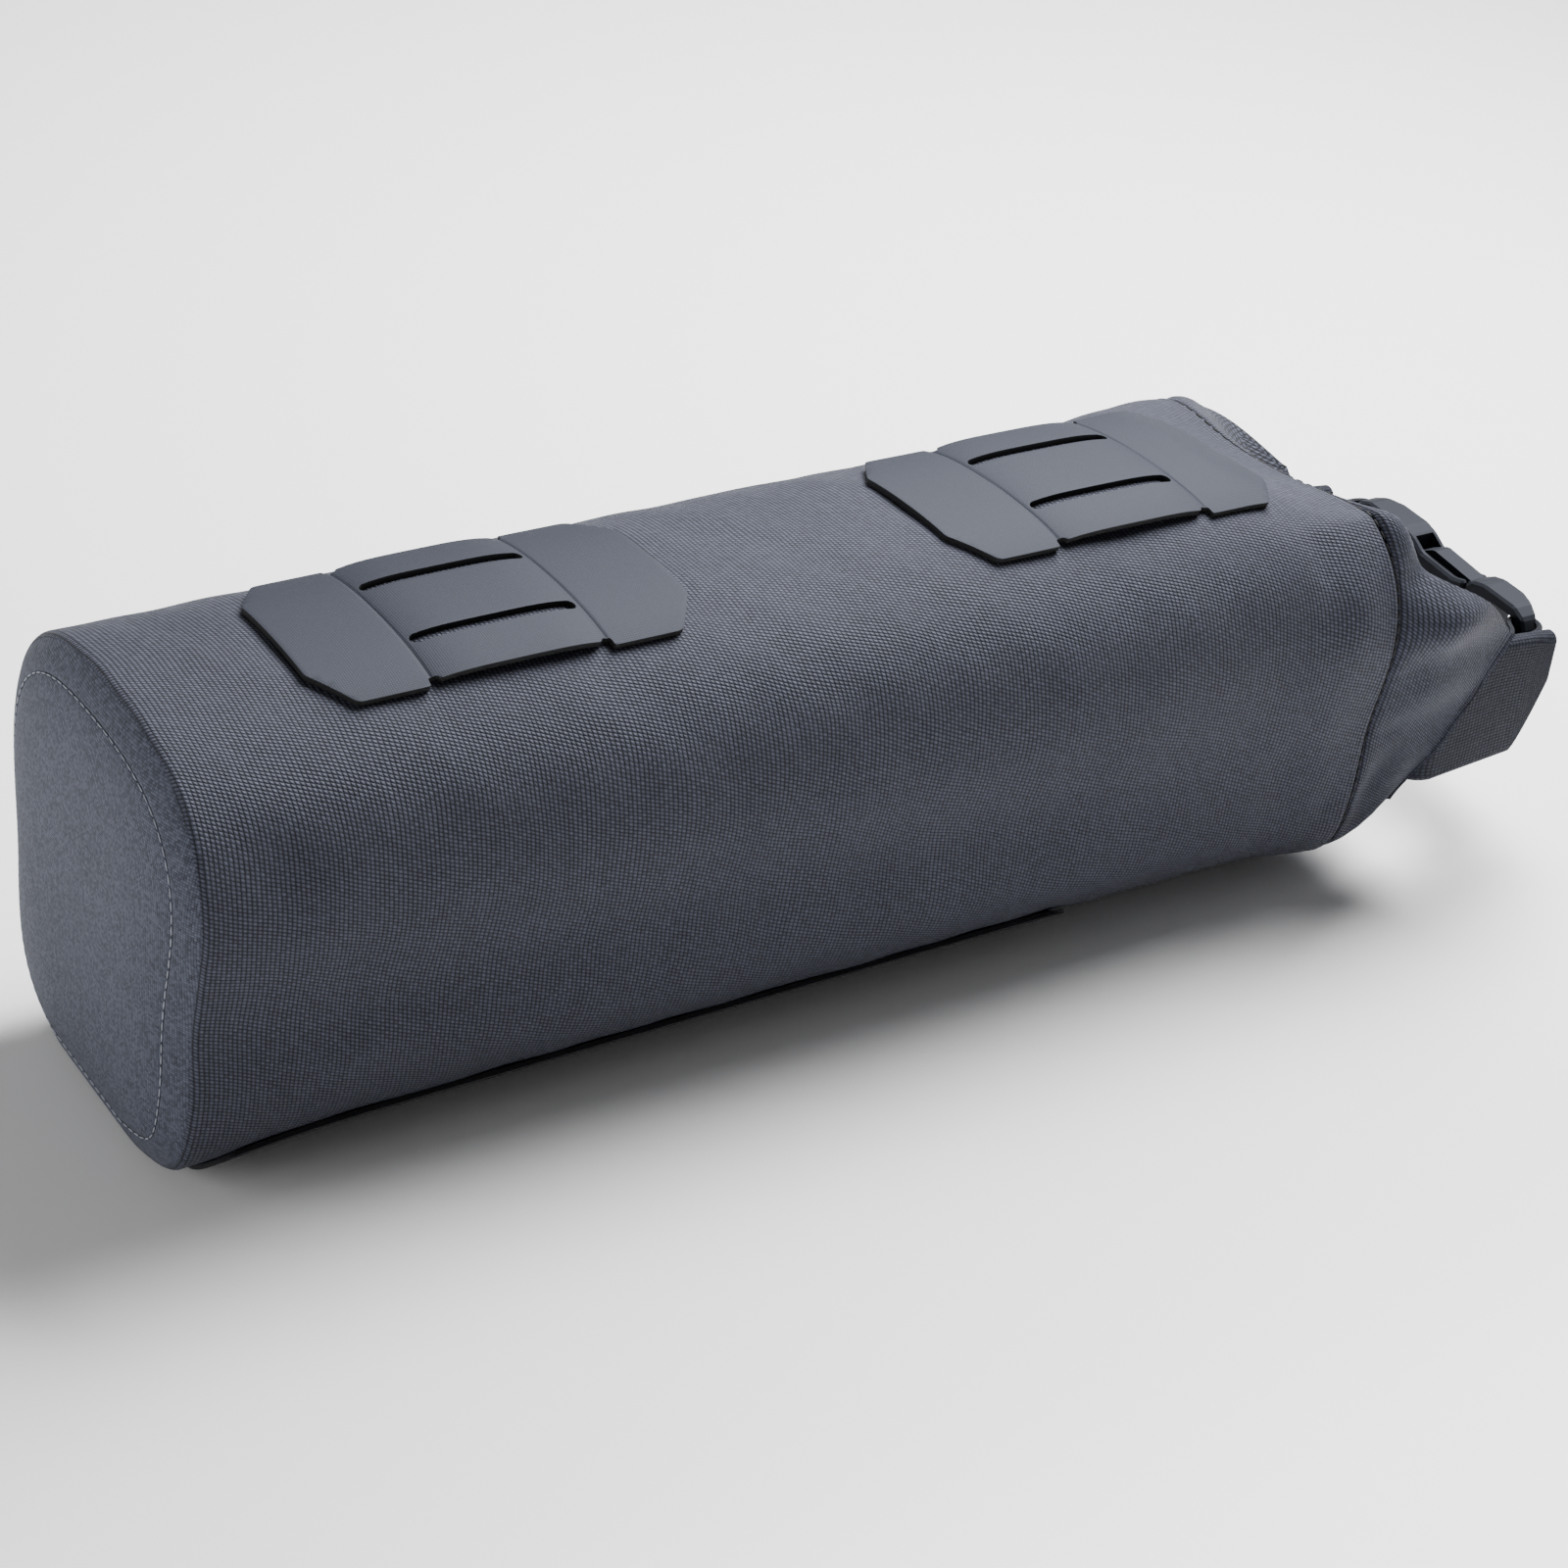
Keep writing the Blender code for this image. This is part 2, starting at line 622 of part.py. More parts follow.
def outline_solid(name, outline, depth, edge, finish):
    """A flat part of the buckle from its (along, up) outline, with bevelled edges.

    along runs from the near end of the buckle to its far end, up from its middle line, and depth
    is the span in X from its middle plane.
    """
    shell = bmesh.new()
    near_end = -BUCKLE_LENGTH / 2
    x = buckle_place() + depth[0]
    points = [(x, near_end + along, roll_middle() + up) for along, up in outline]
    face = shell.faces.new([shell.verts.new(point) for point in points])
    raised = bmesh.ops.extrude_face_region(shell, geom=[face])
    moved = [item for item in raised["geom"] if isinstance(item, bmesh.types.BMVert)]
    bmesh.ops.translate(shell, verts=moved, vec=(depth[1] - depth[0], 0.0, 0.0))
    bmesh.ops.recalc_face_normals(shell, faces=shell.faces)
    if edge > 0:
        bmesh.ops.bevel(
            shell,
            geom=list(shell.edges),
            offset=edge,
            segments=1,
            affect="EDGES",
            profile=0.5,
        )
    return add_object(name, shell, finish)


def mirrored(half_outline):
    """A whole outline from its upper half, which runs from the near end to the far end."""
    lower = [(along, -up) for along, up in reversed(half_outline)]
    return half_outline + lower


def use_cutter(target, cutter):
    """Take a cutter's shape out of a part."""
    cutter.hide_render = True
    cutter.display_type = "WIRE"
    cut = target.modifiers.new(cutter.name, "BOOLEAN")
    cut.operation = "DIFFERENCE"
    cut.object = cutter


def cut_box(target, name, along, up, depth):
    """Cut a box out of a buckle part: spans along and up, and a span from its middle plane."""
    cutter = outline_solid(
        name,
        [(along[0], up[0]), (along[0], up[1]), (along[1], up[1]), (along[1], up[0])],
        depth,
        0.0,
        BUCKLE_GREY,
    )
    use_cutter(target, cutter)


def slim(target, name, along, up, thickness, set_back=0.0):
    """Thin a stretch of a buckle part from both faces to a thickness."""
    outside = BUCKLE_THICKNESS
    for side, label in ((-1, "back"), (1, "front")):
        inner = side * thickness / 2 - set_back
        span = (inner, side * outside)
        cut_box(target, name + "_" + label, along, up, (min(span), max(span)))


def slope_end(target, name, side, face):
    """Slope the outer face of a buckle part down to its bar at the near end (-1) or far end (1)."""
    low = BAR_THICKNESS / 2 - BAR_SET_BACK + GAP
    end = side * BUCKLE_LENGTH / 2
    run = (face - low) / END_SLOPE
    profile = [
        (face + GAP * run, end - side * (END_SLOPE + GAP)),
        (low - GAP * run, end + side * GAP),
        (2 * face, end + side * GAP),
        (2 * face, end - side * (END_SLOPE + GAP)),
    ]
    bottom = roll_middle() - BUCKLE_WIDTH
    top = roll_middle() + BUCKLE_WIDTH
    loops = [[(buckle_place() + px, py, z) for px, py in profile] for z in (bottom, top)]
    cutter = add_object(name, loft(loops, capped=True), BUCKLE_GREY)
    use_cutter(target, cutter)


def corner_points():
    """The buckle's rounded upper corner at its near end: along and up from the middle line."""
    half = BUCKLE_WIDTH / 2
    corner = BUCKLE_CORNER
    return [(0.0, half - 0.9 * corner), (0.3 * corner, half - 0.3 * corner), (corner, half)]


def make_plug():
    """The plug: a frame with the webbing window, and two springing arms."""
    half = BUCKLE_WIDTH / 2
    arm_out = half - ARM_STEP
    arm_in = arm_out - ARM_WIDTH
    tip = PLUG_BODY + ARM_LENGTH
    outline = mirrored(
        corner_points()
        + [
            (PLUG_BODY - BUCKLE_CORNER, half),
            (PLUG_BODY - ARM_STEP / 2, half - ARM_STEP / 2),
            (PLUG_BODY, arm_out),
            (tip - ARM_TIP, arm_out + ARM_STEP * 0.4),
            (tip - ARM_TIP / 6, arm_out - ARM_WIDTH * 0.4),
            (tip, arm_in),
            (tip - ARM_TIP, arm_in),
            (PLUG_BODY + ARM_ROOT, arm_in - ARM_ROOT * 0.4),
            (PLUG_BODY + ARM_ROOT * 0.4, arm_in - ARM_ROOT),
        ]
    )
    faces = (-PLUG_THICKNESS / 2, PLUG_THICKNESS / 2)
    plug = outline_solid("buckle_plug", outline, faces, BUCKLE_EDGE, BUCKLE_GREY)
    rail = half - BUCKLE_RAIL
    through = (-BUCKLE_THICKNESS, BUCKLE_THICKNESS)
    window = (BUCKLE_BAR, BUCKLE_BAR + BUCKLE_WINDOW)
    cut_box(plug, "cut_plug_window", window, (-rail, rail), through)
    bar = (-BUCKLE_BAR, BUCKLE_BAR * 1.5)
    slim(plug, "cut_plug_bar", bar, (-rail, rail), BAR_THICKNESS, BAR_SET_BACK)
    slope_end(plug, "cut_plug_slope", -1, PLUG_THICKNESS / 2)
    arms = (PLUG_BODY + GAP, tip + BUCKLE_BAR)
    slim(plug, "cut_plug_arms", arms, (-BUCKLE_WIDTH, BUCKLE_WIDTH), ARM_THICKNESS)
    return plug


def make_socket():
    """The socket: a flat sleeve round the plug's arms, open at its mouth and both sides."""
    half = BUCKLE_WIDTH / 2
    mouth = PLUG_BODY + SOCKET_CLEAR
    tip = PLUG_BODY + ARM_LENGTH
    waist = half - ARM_STEP - SOCKET_CLEAR
    far_corner = [(BUCKLE_LENGTH - along, up) for along, up in reversed(corner_points())]
    outline = mirrored(
        [
            (mouth, waist + SOCKET_FLARE * 0.3),
            (mouth + SOCKET_FLARE, waist),
            (tip - SOCKET_FLARE, waist + SLIDE),
            (tip + SLIDE, half - SOCKET_FLARE * 0.25),
            (tip + SOCKET_FLARE, half),
        ]
        + far_corner
    )
    faces = (-BUCKLE_THICKNESS / 2, BUCKLE_THICKNESS / 2)
    socket = outline_solid("buckle_socket", outline, faces, BUCKLE_EDGE, BUCKLE_GREY)
    rail = half - BUCKLE_RAIL
    through = (-BUCKLE_THICKNESS, BUCKLE_THICKNESS)
    bar = BUCKLE_LENGTH - BUCKLE_BAR
    window = (bar - BUCKLE_WINDOW, bar)
    cut_box(socket, "cut_socket_window", window, (-rail, rail), through)
    ends = (bar - BUCKLE_BAR / 2, BUCKLE_LENGTH + BUCKLE_BAR)
    slim(socket, "cut_socket_bar", ends, (-rail, rail), BAR_THICKNESS, BAR_SET_BACK)
    slope_end(socket, "cut_socket_slope", 1, BUCKLE_THICKNESS / 2)
    chamber = BUCKLE_THICKNESS / 2 - SOCKET_SKIN
    reach = (PLUG_BODY, tip + SLIDE)
    cut_box(socket, "cut_socket_chamber", reach, (-BUCKLE_WIDTH, BUCKLE_WIDTH), (-chamber, chamber))
    return socket


def set_origin(pieces):
    """Shift all pieces so that the origin is at the bottom centre of the whole bag."""
    bpy.context.view_layer.update()
    depsgraph = bpy.context.evaluated_depsgraph_get()
    corners = []
    for piece in pieces:
        shaped = piece.evaluated_get(depsgraph).to_mesh()
        corners += [piece.matrix_world @ vertex.co for vertex in shaped.vertices]
    corners = np.array([tuple(corner) for corner in corners])
    low = corners.min(axis=0)
    high = corners.max(axis=0)
    middle = (low + high) / 2
    for item in bpy.data.objects:
        item.location = (-middle[0], -middle[1], -low[2])


def main():
    """Build every piece of the bag."""
    clear_scene()
    pieces = [
        make_tube(),
        make_end_disc(),
        make_underside_panel(),
        make_plate("mount_plate_rear", PLATE_CENTRE),
        make_plate("mount_plate_front", PLATE_CENTRE + PLATE_PITCH),
        make_collar(),
        make_roll(),
        make_webbing("webbing_near", -1),
        make_webbing("webbing_far", 1),
        make_plug(),
        make_socket(),
    ]
    set_origin(pieces)


main()
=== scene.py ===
import math

import bmesh
import bpy
import numpy as np
from mathutils import Matrix, Vector


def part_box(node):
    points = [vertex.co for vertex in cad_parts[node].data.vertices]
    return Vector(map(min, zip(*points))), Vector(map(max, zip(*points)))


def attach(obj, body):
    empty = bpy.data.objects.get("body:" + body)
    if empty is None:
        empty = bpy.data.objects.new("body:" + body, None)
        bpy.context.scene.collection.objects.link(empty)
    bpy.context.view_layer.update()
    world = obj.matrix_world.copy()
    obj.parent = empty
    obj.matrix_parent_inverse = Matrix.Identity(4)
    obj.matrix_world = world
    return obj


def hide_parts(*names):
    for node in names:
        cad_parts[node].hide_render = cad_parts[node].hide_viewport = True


bl_info = {
    "name": "Downtube bag",
    "version": (1, 0, 0),
    "blender": (4, 5, 0),
    "location": "3D View > Sidebar > Bag",
    "description": "Cloth, plates, webbing and buckle of a roll-top downtube bag on its frame",
    "category": "Add Mesh",
}

MM = 0.001

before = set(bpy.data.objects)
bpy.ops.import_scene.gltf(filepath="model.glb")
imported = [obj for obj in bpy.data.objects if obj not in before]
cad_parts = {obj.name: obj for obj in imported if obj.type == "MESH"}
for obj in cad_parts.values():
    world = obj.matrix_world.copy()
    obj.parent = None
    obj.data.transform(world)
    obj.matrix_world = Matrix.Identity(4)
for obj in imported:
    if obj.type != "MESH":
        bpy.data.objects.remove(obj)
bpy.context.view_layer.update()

# Fabric tube, with X from the end face, Y from the middle and Z from the underside
TUBE_LENGTH = 277.5 * MM
TUBE_WIDTH = 86.8 * MM
TUBE_HEIGHT = 98.0 * MM
CLOTH = 1.5 * MM
SEAM_LEAN = 0.11
EDGE_RADIUS = 0.9 * MM
AROUND_STEPS = 192

# The tube's section: waves on its radius (number round it, share of it), the share of the height
# that rests flat, and the steps in which the section is worked out
SECTION_WAVES = ((1, 0.082), (2, 0.081), (4, -0.069))
REST_FLAT = 0.008
DENSE_STEPS = 1440

# Sag of the tube's top towards the seam: its middle and reach as shares of the half-width, and
# the shares of the height over which it sets in
SAG_DEPTH = 9.0 * MM
SAG_LENGTH = 30.0 * MM
SAG_MIDDLE = 0.12
SAG_REACH = 0.8
SAG_HEIGHTS = (0.6, 0.95)

# End face
HEM_DEPTH = 7.2 * MM
END_BULGE = 6.0 * MM
BULGE_POWER = 5
PANEL_TUCK = 0.4 * MM
END_BOARD = 1.4 * MM

# Underside panel
PANEL_LENGTH = 205.0 * MM
PANEL_START = 5.0 * MM
PANEL_GIRTH = 76.0 * MM
PANEL_THICKNESS = 1.0 * MM
PANEL_CORNER = 9.0 * MM

# Fastening plates
PLATE_LENGTH = 83.2 * MM
PLATE_GIRTH = 45.0 * MM
PLATE_THICKNESS = 1.3 * MM
PLATE_CENTRES = {"rear": 74.5 * MM, "front": 218.9 * MM}
CORNER_LENGTH = 6.6 * MM
CORNER_GIRTH = 9.4 * MM
BRIDGE_LENGTH = 37.6 * MM
BRIDGE_GIRTH = 42.8 * MM
BRIDGE_LIFT = 1.2 * MM
SLOT_WIDTH = 2.8 * MM
SLOT_PITCH = 20.2 * MM
SLOT_END = 0.8 * MM
BRIDGE_POWER = 4
NOTCH_DEPTH = 0.9 * MM
NOTCH_OUTER = 1.0 * MM
NOTCH_INNER = 1.6 * MM
# Radii of a plate's corners from its long end round to the bridge, in millimetres
PLATE_RADII = (2.4, 2.4, 0.5, 0.8, 0.8, 1.0)
CREASE_OFFSET = 0.2 * MM
CREASE_WIDTH = 0.25 * MM
CLOTH_BELOW_BRIDGE = 0.1 * MM

# Collar and rolled closure
COLLAR_LENGTH = 21.5 * MM
COLLAR_NARROWING = 2.4 * MM
MOUTH_TAPER = 3.2 * MM
EAR_TOP_REACH = 20.0 * MM
EAR_BOTTOM_REACH = -4.0 * MM
ROLL_HEIGHT = 35.0 * MM
ROLL_THICKNESS = 8.0 * MM
ROLL_MIDDLE = 39.69 * MM
ROLL_PLACE = 300.0 * MM
TAIL_LENGTH = 35.3 * MM
FAR_TAIL_SHORTER = 6.0 * MM
TAIL_TIP_HEIGHT = 29.5 * MM
TAIL_THICKNESS = 4.4 * MM
TAIL_CORNER_LENGTH = 7.0 * MM
TAIL_CORNER_HEIGHT = 16.0 * MM
TAIL_CORNER_POWER = 1.3
TAIL_BEND = 6.0 * MM
ROLL_LIP = 2.0 * MM

# How the collar closes: the share of the mouth's height that is tapered, the power of its ears,
# the power of its pace at the bottom and how much the height adds, how much the top's middle
# leads and over which share of the girth, and the power of a fold's swell
TAPER_HEIGHT = 0.4
EAR_POWER = 6
PACE = 1.10
PACE_BY_HEIGHT = 0.20
TOP_LEAD = 0.25
TOP_LEAD_REACH = 0.06
SWELL_POWER = 1.2
# Where the collar starts its cloth is tucked in, and at the mouth its hem stands out: how far,
# and the share of the collar over which each fades
TUCK_DEPTH = 1.1 * MM
TUCK_REACH = 0.025
HEM_RISE = 0.7 * MM
HEM_REACH = 0.02

# Webbing and buckle
WEBBING_WIDTH = 25.0 * MM
WEBBING_THICKNESS = 1.4 * MM
WEBBING_LAP = 15.0 * MM
BUCKLE_LENGTH = 62.0 * MM
BUCKLE_BAR = 4.0 * MM
BAR_THICKNESS = 3.6 * MM
BAR_SET_BACK = 2.0 * MM
BUCKLE_AHEAD = 1.2 * MM
WEBBING_STEP = 0.8 * MM
WEBBING_LIP = 0.5 * MM

# Stitches: how far the seam's line lies past the tube's end and below its cloth, how far the pale
# line lies inside the hem and below the end face, and its pitch in lengths of its stitches
SEAM_AHEAD = 0.1 * MM
SEAM_DEPTH = 0.6 * MM
END_LINE_INSET = 0.15 * MM
END_LINE_DEPTH = 0.05 * MM
END_STITCH_SPACING = 1.2

GAP = 0.3 * MM
SLIDE = 0.4 * MM

# Sections along the tube: share of the length, share of the width, share of the height
TUBE_SECTIONS = (
    (0.00, 1.000, 1.000),
    (0.30, 1.002, 1.002),
    (0.65, 1.000, 1.000),
    (1.00, 0.990, 0.992),
)

# Dents and creases in the tube: share of the length, share of the girth, depth as a share of the
# width (a negative one stands out), reach along, reach round; the girth runs from the underside
# over the near side (0.25), the top (0.5) and the far side (0.75)
TUBE_DENTS = (
    (0.00, 0.115, -0.020, 0.080, 0.030),
    (0.00, 0.755, -0.012, 0.080, 0.050),
    (0.75, 0.108, 0.020, 0.550, 0.050),
    (0.985, 0.612, -0.052, 0.075, 0.040),
    (1.00, 0.118, -0.030, 0.050, 0.035),
    (0.05, 0.34, 0.012, 0.035, 0.030),
    (0.07, 0.20, 0.008, 0.045, 0.035),
    (0.22, 0.26, 0.006, 0.090, 0.060),
    (0.88, 0.30, 0.016, 0.060, 0.050),
    (0.93, 0.18, 0.012, 0.040, 0.030),
    (0.90, 0.72, 0.014, 0.060, 0.050),
)

# Finer creases in the tube's cloth, in the same columns
TUBE_CREASES = (
    (0.145, 0.215, 0.0045, 0.030, 0.012),
    (0.120, 0.185, -0.0040, 0.040, 0.012),
    (0.965, 0.335, -0.012, 0.020, 0.035),
    (0.940, 0.375, 0.010, 0.018, 0.030),
    (0.955, 0.245, -0.010, 0.022, 0.028),
    (0.915, 0.215, 0.008, 0.025, 0.020),
    (0.975, 0.170, 0.010, 0.016, 0.022),
    (0.050, 0.400, 0.004, 0.030, 0.020),
    (0.500, 0.320, 0.003, 0.120, 0.030),
)

# Slow unevenness of the cloth: radians per millimetre along and round it, and where it starts
RIPPLES = (
    (0.11, 0.05, 0.3),
    (0.07, -0.13, 1.9),
    (0.19, 0.16, 4.1),
    (0.27, -0.09, 2.6),
    (0.05, 0.22, 5.2),
    (0.34, 0.28, 0.9),
)

# Folds in the collar: girth share at the seam and at the roll, height out of the face as a share
# of the tube's width, reach round, and how late it swells on its way to the roll
COLLAR_FOLDS = (
    (0.620, 0.640, 0.065, 0.040, 1.0),
    (0.305, 0.335, -0.025, 0.030, 1.0),
    (0.245, 0.300, 0.022, 0.030, 1.0),
    (0.165, 0.215, -0.025, 0.025, 1.0),
    (0.695, 0.665, -0.055, 0.030, 1.0),
    (0.755, 0.700, 0.030, 0.030, 1.0),
    (0.835, 0.785, -0.025, 0.025, 1.0),
)

# Finer wrinkles of the collar, in the same columns
COLLAR_WRINKLES = (
    (0.352, 0.412, -0.045, 0.011, 1.0),
    (0.308, 0.378, 0.082, 0.026, 0.9),
    (0.392, 0.438, 0.070, 0.026, 0.7),
    (0.430, 0.445, 0.016, 0.016, 1.0),
    (0.480, 0.470, -0.014, 0.015, 1.0),
    (0.545, 0.520, 0.018, 0.016, 1.0),
    (0.590, 0.590, -0.020, 0.014, 1.0),
    (0.225, 0.245, -0.012, 0.010, 1.0),
    (0.120, 0.150, 0.014, 0.012, 1.0),
    (0.045, 0.060, -0.012, 0.016, 1.0),
    (0.900, 0.880, 0.012, 0.014, 1.0),
)

# Places of the tube's corners and the roll's corners as shares of their girths
TUBE_CORNERS = (0.0, 0.123, 0.363, 0.5, 0.637, 0.877, 1.0)
ROLL_CORNERS = (0.0, 0.177, 0.323, 0.5, 0.677, 0.823, 1.0)

# Camera: degrees round, above the floor and rolled, lens and sensor in millimetres, and its place
# in the tube's own axes
CAMERA_AROUND = -35.85
CAMERA_ABOVE = 32.5
CAMERA_ROLL = 7.25
CAMERA_LENS = 92.87
CAMERA_SENSOR = 36.0
CAMERA_PLACE = (-268.7 * MM, -586.9 * MM, 497.2 * MM)

# Lights: name, place, target and sides in metres, the setting that holds the power, and the
# spread of the beam in degrees
LIGHTS = (
    ("key_above", (0.33, 0.19, 0.66), (0.0, 0.0, 0.05), (0.48, 0.48), "key_power", 180.0),
    ("end_side", (-0.9, 0.12, 0.16), (0.0, 0.0, 0.05), (0.6, 0.6), "end_power", 180.0),
    ("floor_front", (-0.22, -0.42, 0.4), (-0.22, -0.42, 0.0), (0.8, 0.5), "floor_power", 20.0),
)


def tube_shift():
    """The shift from the tube's own axes to the frame's, read from the roll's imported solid."""
    low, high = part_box("closure_roll")
    return np.array([
        high[0] - ROLL_PLACE - TAIL_LENGTH,
        (low[1] + high[1]) / 2,
        low[2] - (ROLL_MIDDLE - ROLL_HEIGHT / 2),
    ])


SHIFT = tube_shift()


def linear(hex_colour):
    """Linear red, green and blue of an sRGB hex colour."""
    values = [int(hex_colour[i:i + 2], 16) / 255 for i in (1, 3, 5)]
    return tuple(v / 12.92 if v <= 0.04045 else ((v + 0.055) / 1.055) ** 2.4 for v in values)


# Form of the bag


def smooth_step(value, low, high):
    """0 below low, 1 above high, and a smooth rise between."""
    share = np.clip((value - low) / (high - low), 0.0, 1.0)
    return share * share * (3.0 - 2.0 * share)


def dense_section():
    """Girth shares, half-width shares, height shares, outward normals and girth of the section."""
    angle = np.linspace(-math.pi, math.pi, DENSE_STEPS + 1)
    radius = np.ones_like(angle)
    for wave, share in SECTION_WAVES:
        radius = radius + share * np.cos(wave * angle)
    across = radius * np.sin(angle)
    across = across / np.abs(across).max()
    up = radius * np.cos(angle)
    up = (up - up.min()) / (up.max() - up.min())
    up = (np.maximum(up, REST_FLAT) - REST_FLAT) / (1.0 - REST_FLAT)
    y = across * TUBE_WIDTH / 2
    z = up * TUBE_HEIGHT
    length = np.concatenate([[0.0], np.cumsum(np.hypot(np.diff(y), np.diff(z)))])
    along_y = np.gradient(y, length)
    along_z = np.gradient(z, length)
    size = np.hypot(along_y, along_z)
    return length / length[-1], across, up, -along_z / size, along_y / size, length[-1]


SHARES, ACROSS, UP, NORMAL_Y, NORMAL_Z, GIRTH = dense_section()


def dent_depth(x, around, rows):
    """Depth of a table's dents at distances from the end and shares of the girth."""
    along = x / TUBE_LENGTH
    depth = np.zeros(np.broadcast(x, around).shape)
    for place, side, share, reach, spread in rows:
        bump = np.exp(-((along - place) / reach) ** 2 - ((around - side) / spread) ** 2)
        depth = depth + share * TUBE_WIDTH * bump
    return depth


def tube_surface(x, around, lift=0.0):
    """Points on the tube's cloth at distances from the end, at shares of the girth, lifted out."""
    x, around, lift = np.broadcast_arrays(
        np.asarray(x, float), np.asarray(around, float) % 1.0, np.asarray(lift, float)
    )
    out_y = np.interp(around, SHARES, NORMAL_Y)
    out_z = np.interp(around, SHARES, NORMAL_Z)
    along = x / TUBE_LENGTH
    stations = [row[0] for row in TUBE_SECTIONS]
    wide = np.interp(along, stations, [row[1] for row in TUBE_SECTIONS])
    tall = np.interp(along, stations, [row[2] for row in TUBE_SECTIONS])
    up = np.interp(around, SHARES, UP)
    across = np.interp(around, SHARES, ACROSS)
    out = lift - dent_depth(x, around, TUBE_DENTS)
    y = across * wide * TUBE_WIDTH / 2 + out * out_y
    z = up * tall * TUBE_HEIGHT + out * out_z
    sag = SAG_DEPTH * smooth_step(x, TUBE_LENGTH - SAG_LENGTH, TUBE_LENGTH)
    hollow = np.clip(1.0 - ((across - SAG_MIDDLE) / SAG_REACH) ** 2, 0.0, 1.0)
    z = z - sag * hollow * smooth_step(up, *SAG_HEIGHTS)
    lean = SEAM_LEAN * smooth_step(along, 0.0, 1.0)
    return np.stack([x - lean * y, y, z], axis=-1)


def bulge(inset):
    """How far the end face stands out at an inset from the tube's outline."""
    return END_BULGE * (1.0 - (1.0 - 2.0 * inset / TUBE_WIDTH) ** BULGE_POWER)


def rectangle_point(share, half_width, half_height):
    """Points on a rectangle at shares of its girth by corners, from the bottom centre."""
    across = np.interp(share, ROLL_CORNERS, (0.0, -1.0, -1.0, 0.0, 1.0, 1.0, 0.0))
    up = np.interp(share, ROLL_CORNERS, (-1.0, -1.0, 1.0, 1.0, 1.0, -1.0, -1.0))
    return across * half_width, up * half_height


def collar_surface(share, place, inset):
    """Points on the collar between the seam (share 0) and the roll (share 1)."""
    share, place = np.broadcast_arrays(share, place)
    seam = tube_surface(TUBE_LENGTH + GAP, place, -inset)
    half_width = TUBE_WIDTH / 2 - COLLAR_NARROWING - inset
    half_height = ROLL_HEIGHT / 2 + SLIDE + CLOTH - inset
    target = np.interp(place, TUBE_CORNERS, ROLL_CORNERS)
    y, rise = rectangle_point(target, half_width, half_height)
    side = (np.abs(y) / half_width) ** EAR_POWER
    height = (rise / half_height + 1.0) / 2
    y = y - y / half_width * MOUTH_TAPER * (1.0 - smooth_step(height, 0.0, TAPER_HEIGHT))
    ear = EAR_BOTTOM_REACH + (EAR_TOP_REACH - EAR_BOTTOM_REACH) * height
    end = np.stack([TUBE_LENGTH + COLLAR_LENGTH + side * ear, y, ROLL_MIDDLE + rise], axis=-1)
    lead = TOP_LEAD * np.exp(-((place - 0.5) / TOP_LEAD_REACH) ** 2)
    lag = PACE + PACE_BY_HEIGHT * height - lead
    pace = np.stack([share, share ** lag, share ** lag], axis=-1)
    point = seam + (end - seam) * pace
    room = smooth_step(ROLL_PLACE - ROLL_THICKNESS / 2 - point[..., 0], 0.0, COLLAR_LENGTH / 2)
    for start, finish, height_out, spread, late in COLLAR_FOLDS + COLLAR_WRINKLES:
        line = start + (finish - start) * share
        swell = np.sin(math.pi * np.clip(share, 0.0, 1.0) ** late) ** SWELL_POWER
        amount = height_out * TUBE_WIDTH * swell * (room if height_out < 0 else 1.0)
        out = amount * np.exp(-((place - line) / spread) ** 2)
        point[..., 1] += out * np.interp(place, SHARES, NORMAL_Y)
        point[..., 2] += out * np.interp(place, SHARES, NORMAL_Z)
    return point


# Meshes


def cloth_map(lengths, widths):
    """UV values in millimetres for rows at lengths and columns at widths."""
    grid = np.meshgrid(np.asarray(lengths) / MM, np.asarray(widths) / MM, indexing="ij")
    return np.stack(grid, axis=-1)


def run_lengths(points):
    """Length run along the rows of a grid of points, by the mean over its columns."""
    steps = np.linalg.norm(np.diff(points, axis=0), axis=-1).mean(axis=1)
    return np.concatenate([[0.0], np.cumsum(steps)])


def skin(name, points, cloth, ring=False):
    """Closed mesh from rows of points round a loop, with the UV map cloth_mm.

    ring joins the last row to the first; otherwise both ends are capped. cloth has one more
    column than points, and one more row where the rows join.
    """
    rows, columns = points.shape[:2]
    span = rows if ring else rows - 1
    i, j = np.meshgrid(np.arange(span), np.arange(columns), indexing="ij")
    right = (j + 1) % columns
    below = (i + 1) % rows
    corners = [i * columns + j, below * columns + j, below * columns + right, i * columns + right]
    faces = np.stack(corners, axis=-1).reshape(-1, 4).tolist()
    uv = [cloth[i, j], cloth[i + 1, j], cloth[i + 1, j + 1], cloth[i, j + 1]]
    uv = np.stack(uv, axis=-2).reshape(-1, 2)
    if not ring:
        last = (rows - 1) * columns
        faces.append(list(range(columns)))
        faces.append(list(range(last + columns - 1, last - 1, -1)))
        uv = np.concatenate([uv, cloth[0, :columns], cloth[rows - 1, columns - 1::-1]])
    mesh = bpy.data.meshes.new(name)
    mesh.from_pydata((points.reshape(-1, 3) + SHIFT).tolist(), [], faces)
    mesh.uv_layers.new(name="cloth_mm").data.foreach_set("uv", uv.astype(np.float32).ravel())
    return mesh


def turned_outwards(mesh):
    """Turn a closed mesh's faces outwards."""
    data = bmesh.new()
    data.from_mesh(mesh)
    if data.calc_volume(signed=True) < 0:
        bmesh.ops.reverse_faces(data, faces=data.faces)
        data.to_mesh(mesh)
    data.free()


